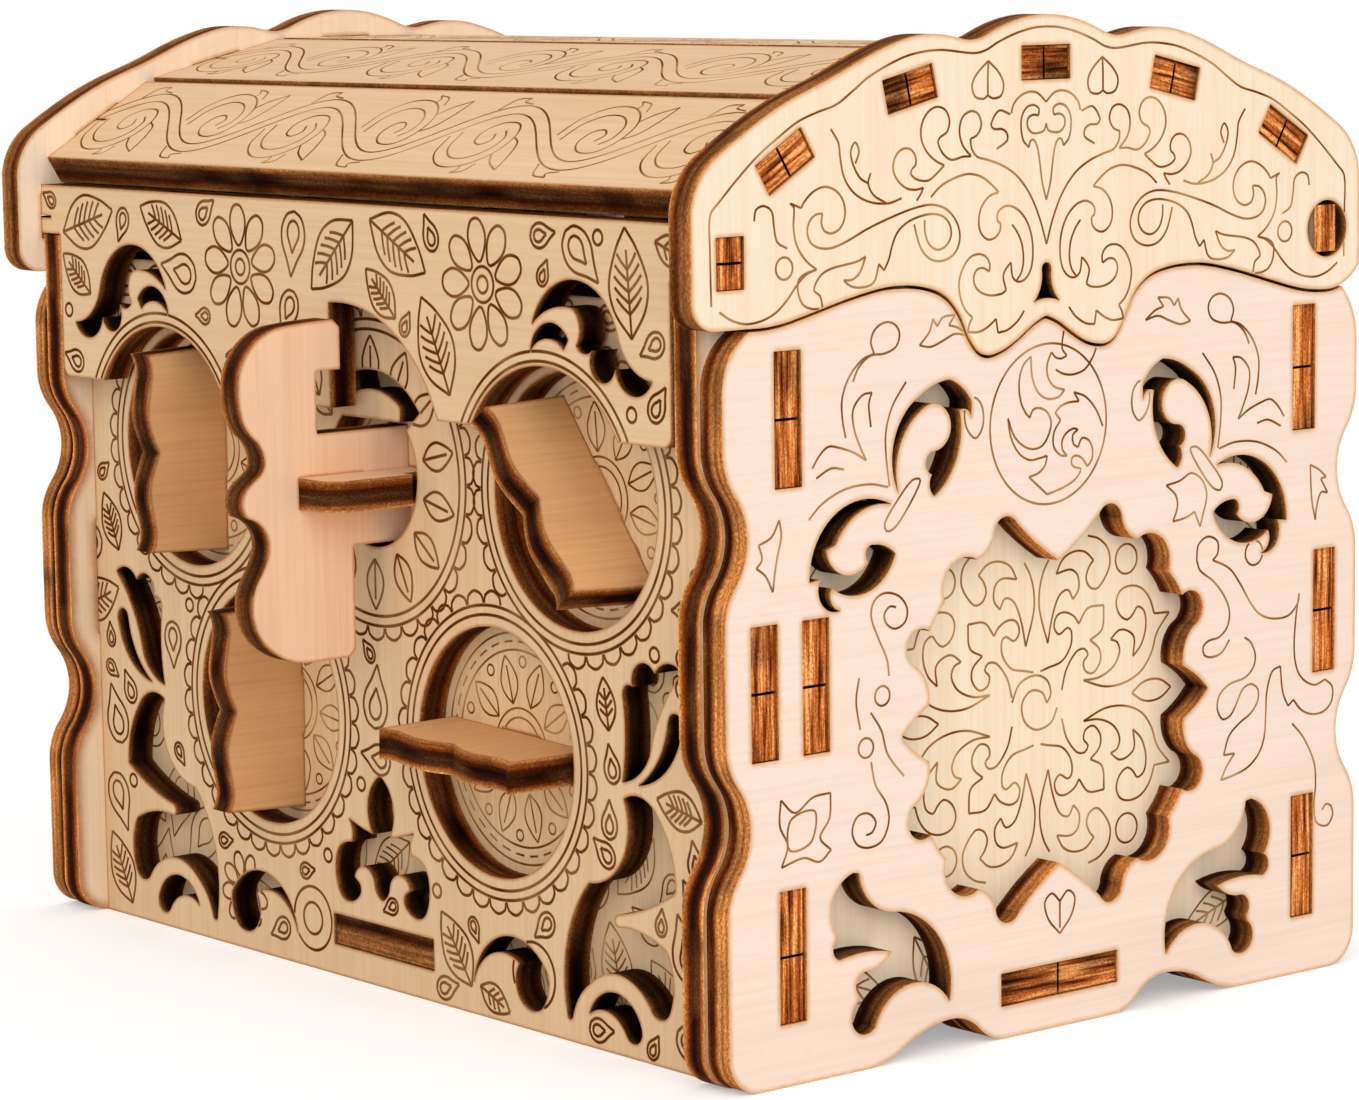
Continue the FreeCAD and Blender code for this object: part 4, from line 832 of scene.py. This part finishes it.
def blossom(radius):
    strokes = [ringLine(0, 0, radius * 0.22)]
    for index in range(6):
        petal = placed(leafLines(radius * 0.72, radius * 0.62), 0, radius * 0.28)
        strokes += placed(petal, 0, 0, 60 * index)
    return strokes, [(0, 0, radius)]


def sprig(radius):
    strokes = placed(leafLines(radius * 2, radius * 1.1, 6 if radius > 4 else 4), 0, -radius)
    return strokes, [(0, -radius * 0.66, radius * 0.34), (0, -radius * 0.15, radius * 0.56),
                     (0, radius * 0.36, radius * 0.46), (0, radius * 0.8, radius * 0.2)]


def drop(radius):
    side = [(radius * 0.26, radius * 0.5), (radius * 0.54, radius * 0.05), (radius * 0.6, -radius * 0.4),
            (radius * 0.38, -radius * 0.84)]
    strokes = [[(0, radius), *side, (0, -radius)], [(0, -radius), *reversed(flipped([side])[0]), (0, radius)]]
    if radius > 1.7:
        strokes += placed(strokes, 0, -radius * 0.22, 0, 0.5)
    return strokes, [(0, -radius * 0.4, radius * 0.6), (0, radius * 0.2, radius * 0.42),
                     (0, radius * 0.72, radius * 0.2)]


def target(radius):
    return [ringLine(0, 0, radius), ringLine(0, 0, radius * 0.5)], [(0, 0, radius)]


def bead(radius):
    return [ringLine(0, 0, radius)], [(0, 0, radius)]


# Radius, tries and motifs of each round
scatter = [
    (8.2, 900, (daisy,)),
    (6.6, 1200, (daisy, sprig)),
    (5.4, 1800, (sprig, drop, daisy)),
    (4.3, 2600, (drop, sprig, target)),
    (3.3, 2600, (drop, sprig, blossom)),
    (2.5, 2600, (drop, target)),
    (1.8, 1800, (drop,)),
    (0.9, 260, (bead,)),
]
scatterAreas = {
    "front_panel": {"low": (-70, 2), "high": (70, 92), "seed": 5},
    "lid_front_skirt": {"low": (-70, 70), "high": (70, 106), "seed": 8, "gap": 1.0},
    "dial_carrier_panel": {"low": (-66, 4), "high": (66, 96), "seed": 11, "largest": 5.5},
}
edgeGap = 0.5  # of wood outside a motif


def scattered(face, keepClear):
    area = scatterAreas[face["name"]]
    low, high = area["low"], area["high"]
    gap = area.get("gap", 0.6)
    dice = random.Random(area["seed"])
    taken = list(keepClear)
    strokes = []
    for radius, tries, makers in scatter:
        if radius > area.get("largest", 9.0):
            continue
        for attempt in range(tries):
            x = dice.uniform(low[0], high[0])
            y = dice.uniform(low[1], high[1])
            turn = dice.uniform(0, 360)
            drawing, discs = dice.choice(makers)(radius)
            spots = [(*placed([[disc[:2]]], x, y, turn)[0][0], disc[2]) for disc in discs]
            if any(math.hypot(u - a, v - b) < reach + size + gap
                   for u, v, reach in spots for a, b, size in taken):
                continue
            rims = [placed([ringLine(0, 0, reach + edgeGap)], u, v)[0] for u, v, reach in spots]
            if not all(isOnSheet(face, spot) for rim in rims for spot in rim[::2]):
                continue
            taken += spots
            strokes += placed(drawing, x, y, turn)
    return strokes


# Rings round the dial windows and the key hole, the key's petals, and the rosette of each dial
dialPlaces = {"upper_left": (-42, 67.8), "upper_right": (42, 67.8), "lower_left": (-25, 34.5),
              "lower_right": (25, 34.5)}
dialWindow = {"rings": (17.5, 18.7), "clear": 18.9, "carrier": 17}
keyEye = {"middle": (0, 67.9), "rings": (18.6, 19.9), "clear": 20.1, "petals": 14, "petal": (6.6, 3.6, 1),
          "from": 11.2}
keyHubRings = (9.6, 8.6)
dialFace = {
    "rings": (12.6, 14.8), "ticks": 30, "tickRing": 13.7, "tickSpan": 7,
    "petals": 10, "petal": (6.2, 3.4, 1), "from": 5.8, "bead": (11.2, 0.7), "hub": (5.2, 4), "turn": 5,
}


def windowRings():
    strokes = []
    for x, z in dialPlaces.values():
        strokes += [ringLine(x, z, radius) for radius in dialWindow["rings"]]
    strokes += [ringLine(*keyEye["middle"], radius) for radius in keyEye["rings"]]
    petal = placed(leafLines(*keyEye["petal"]), 0, keyEye["from"])
    for index in range(keyEye["petals"]):
        strokes += placed(petal, *keyEye["middle"], 360 * index / keyEye["petals"])
    return strokes


# A lace edge of small arches outside each window's rings, where there is wood for them
lace = {"arches": 34, "rise": 1.7, "fill": 0.96, "gap": 0.5}


def windowLace(face, circles):
    strokes = []
    beads = []
    rise = lace["rise"]
    gap = lace["gap"]
    for x, z, reach in circles:
        others = [circle for circle in circles if circle != (x, z, reach)]
        half = math.pi * reach / lace["arches"] * lace["fill"]
        arch = [(-half, 0), (-half * 0.86, rise * 0.6), (0, rise), (half * 0.86, rise * 0.6), (half, 0)]
        for index in range(lace["arches"]):
            stroke = placed(placed([arch], 0, reach), x, z, 360 * index / lace["arches"])[0]
            isFree = all(math.hypot(u - a, v - b) > size + gap for u, v in stroke for a, b, size in others)
            if isFree and all(isOnSheet(face, spot, gap) for spot in stroke):
                strokes.append(stroke)
                beads.append((*stroke[2], gap))
    return strokes, beads


def dialStrokes(seed):
    strokes = [ringLine(0, 0, radius) for radius in dialFace["rings"]]
    step = 360 / dialFace["ticks"]
    for index in range(dialFace["ticks"]):
        turn = step * index
        strokes.append(ringLine(0, 0, dialFace["tickRing"], turn, turn + dialFace["tickSpan"]))
    step = 360 / dialFace["petals"]
    petal = placed(leafLines(*dialFace["petal"]), 0, dialFace["from"])
    for index in range(dialFace["petals"]):
        turn = step * index + dialFace["turn"] * seed
        strokes += placed(petal, 0, 0, turn)
        strokes += placed([ringLine(0, *dialFace["bead"])], 0, 0, turn + step / 2)
    return strokes + [ringLine(0, 0, radius) for radius in dialFace["hub"]]


windowHeight = 39.9  # of the lobed window's middle
slatSpan = 146
back = {"height": 50, "vines": (-33, 33), "span": 130}  # an arabesque with a vine below and above it

for side, sign in (("left", -1), ("right", 1)):
    outward = (sign, 0, 0)
    mirror = flipped if sign < 0 else list
    behindWindow = placed(windowStrokes, 0, windowHeight) + innerVeins
    engrave(faceOf("lid_" + side + "_cheek", outward, (0, lidMiddle, 0)), mirror(cheekStrokes), "fine")
    engrave(faceOf(side + "_outer_side_panel", outward, (0, bodyMiddle, 0)), mirror(sideStrokes), "fine")
    engrave(faceOf(side + "_inner_side_panel", outward, (0, bodyMiddle, 0)), mirror(behindWindow), "fine")
for name in sorted(nodes):
    if name.startswith("lid_slat"):
        ways = list(zip(*(vertex.co for vertex in nodes[name].data.vertices)))
        middle = [(min(way) + max(way)) / 2 / mm for way in ways]
        engrave(faceOf(name, (0, 0, 1), middle), vineStrokes(slatSpan), "fine")
backStrokes = placed(windowStrokes, 0, back["height"])
for rise in back["vines"]:
    backStrokes += placed(vineStrokes(back["span"]), 0, back["height"] + rise)
engrave(faceOf("outer_back_panel", (0, 1, 0)), backStrokes, "fine")
front = (0, -1, 0)
rings = windowRings()
keepClear = [(x, z, dialWindow["clear"]) for x, z in dialPlaces.values()]
keepClear.append((*keyEye["middle"], keyEye["clear"]))
panel = faceOf("front_panel", front)
arches, archBeads = windowLace(panel, keepClear)
engrave(panel, rings + arches + scattered(panel, keepClear + archBeads), "bold")
skirt = faceOf("lid_front_skirt", front)
engrave(skirt, rings + scattered(skirt, keepClear), "bold")
carrier = faceOf("dial_carrier_panel", front)
engrave(carrier, scattered(carrier, [(x, z, dialWindow["carrier"]) for x, z in dialPlaces.values()]), "fine")
for seed, (name, (x, z)) in enumerate(dialPlaces.items()):
    engrave(faceOf(name + "_dial", front, (x, 0, z)), dialStrokes(seed), "fine")
keyX, keyZ = keyEye["middle"]
hubStrokes = [ringLine(0, 0, radius) for radius in keyHubRings]
engrave(faceOf("key_hub_disc", front, (keyX, 0, keyZ)), hubStrokes, "fine")
print("engraving done")


# Studio: pale floor, soft lights and the photograph's camera
studio = {
    "floor": 6.0,  # metres across
    "floorColour": grey(0.86),
    "floorRoughness": 0.9,
    "floorLift": 0.34,  # glow that the camera sees, for a white floor outside the shadow
    "sky": 0.76,
    "aim": (0, 0, 0.06),  # where the lamps look
    "key": {"place": (1.05, -0.42, 0.62), "size": 0.9, "power": 4.2},
    "fill": {"place": (0.42, -0.85, 0.5), "size": 0.7, "power": 1.4},
}
camera = {
    "place": (475.2, -380.9, 135.8),  # millimetres
    "azimuth": 50.585,  # degrees round from the front
    "elevation": 7.67,
    "roll": -0.78,
    "lens": 120.5,
    "frame": 36.0,  # millimetres wide
}


def seenByCamera(tree):
    path = addNode(tree, "ShaderNodeLightPath").outputs
    seen = mathNode(tree, "ADD", path["Is Camera Ray"], path["Is Glossy Ray"], clamp=True)
    return mathNode(tree, "ADD", seen, path["Is Transmission Ray"], clamp=True)


def makeFloor():
    bpy.ops.object.select_all(action="DESELECT")
    bpy.ops.mesh.primitive_plane_add(size=studio["floor"], location=(0, 0, 0))
    floor = bpy.context.object
    floor.name = "studioFloor"
    material, tree, shader = newMaterial("studioFloorPaint")
    setInputs(shader, {"Base Color": studio["floorColour"], "Roughness": studio["floorRoughness"],
                       "Specular IOR Level": 0.0, "Emission Color": grey(1.0)})
    glow = mathNode(tree, "MULTIPLY", seenByCamera(tree), studio["floorLift"])
    wire(tree, glow, shader.inputs["Emission Strength"])
    floor.data.materials.append(material)


def makeSky():
    world = bpy.data.worlds.new("studioSky")
    bpy.context.scene.world = world
    world.use_nodes = True
    tree = world.node_tree
    background = tree.nodes["Background"]
    background.inputs["Color"].default_value = grey(1.0)
    strength = addNode(tree, "ShaderNodeMix", data_type="FLOAT")
    wire(tree, seenByCamera(tree), strength.inputs[0])
    strength.inputs[2].default_value = studio["sky"]
    strength.inputs[3].default_value = 1.0
    wire(tree, strength.outputs[0], background.inputs["Strength"])


def makeLamp(name, lamp):
    bpy.ops.object.light_add(type="AREA", location=lamp["place"])
    light = bpy.context.object
    light.name = name
    light.data.size = lamp["size"]
    light.data.energy = lamp["power"]
    aim = Vector(studio["aim"]) - Vector(lamp["place"])
    light.rotation_euler = aim.to_track_quat("-Z", "Y").to_euler()


def makeCamera():
    turn, rise, roll = (math.radians(camera[name]) for name in ("azimuth", "elevation", "roll"))
    ahead = Vector((-math.sin(turn) * math.cos(rise), math.cos(turn) * math.cos(rise), -math.sin(rise)))
    level = ahead.cross(Vector((0, 0, 1))).normalized()
    upright = level.cross(ahead)
    right = level * math.cos(roll) + upright * math.sin(roll)
    up = upright * math.cos(roll) - level * math.sin(roll)
    bpy.ops.object.camera_add()
    shot = bpy.context.object
    shot.name = "photoCamera"
    shot.data.sensor_width = camera["frame"]
    shot.data.sensor_fit = "HORIZONTAL"
    shot.data.lens = camera["lens"]
    shot.data.clip_start = 0.01
    frameAxes = Matrix((right, up, -ahead)).transposed().to_4x4()
    shot.matrix_world = Matrix.Translation(Vector(camera["place"]) * mm) @ frameAxes
    bpy.context.scene.camera = shot


makeFloor()
makeSky()
makeLamp("keyLamp", studio["key"])
makeLamp("fillLamp", studio["fill"])
makeCamera()
bpy.context.scene.view_settings.view_transform = "Standard"
print("studio set")
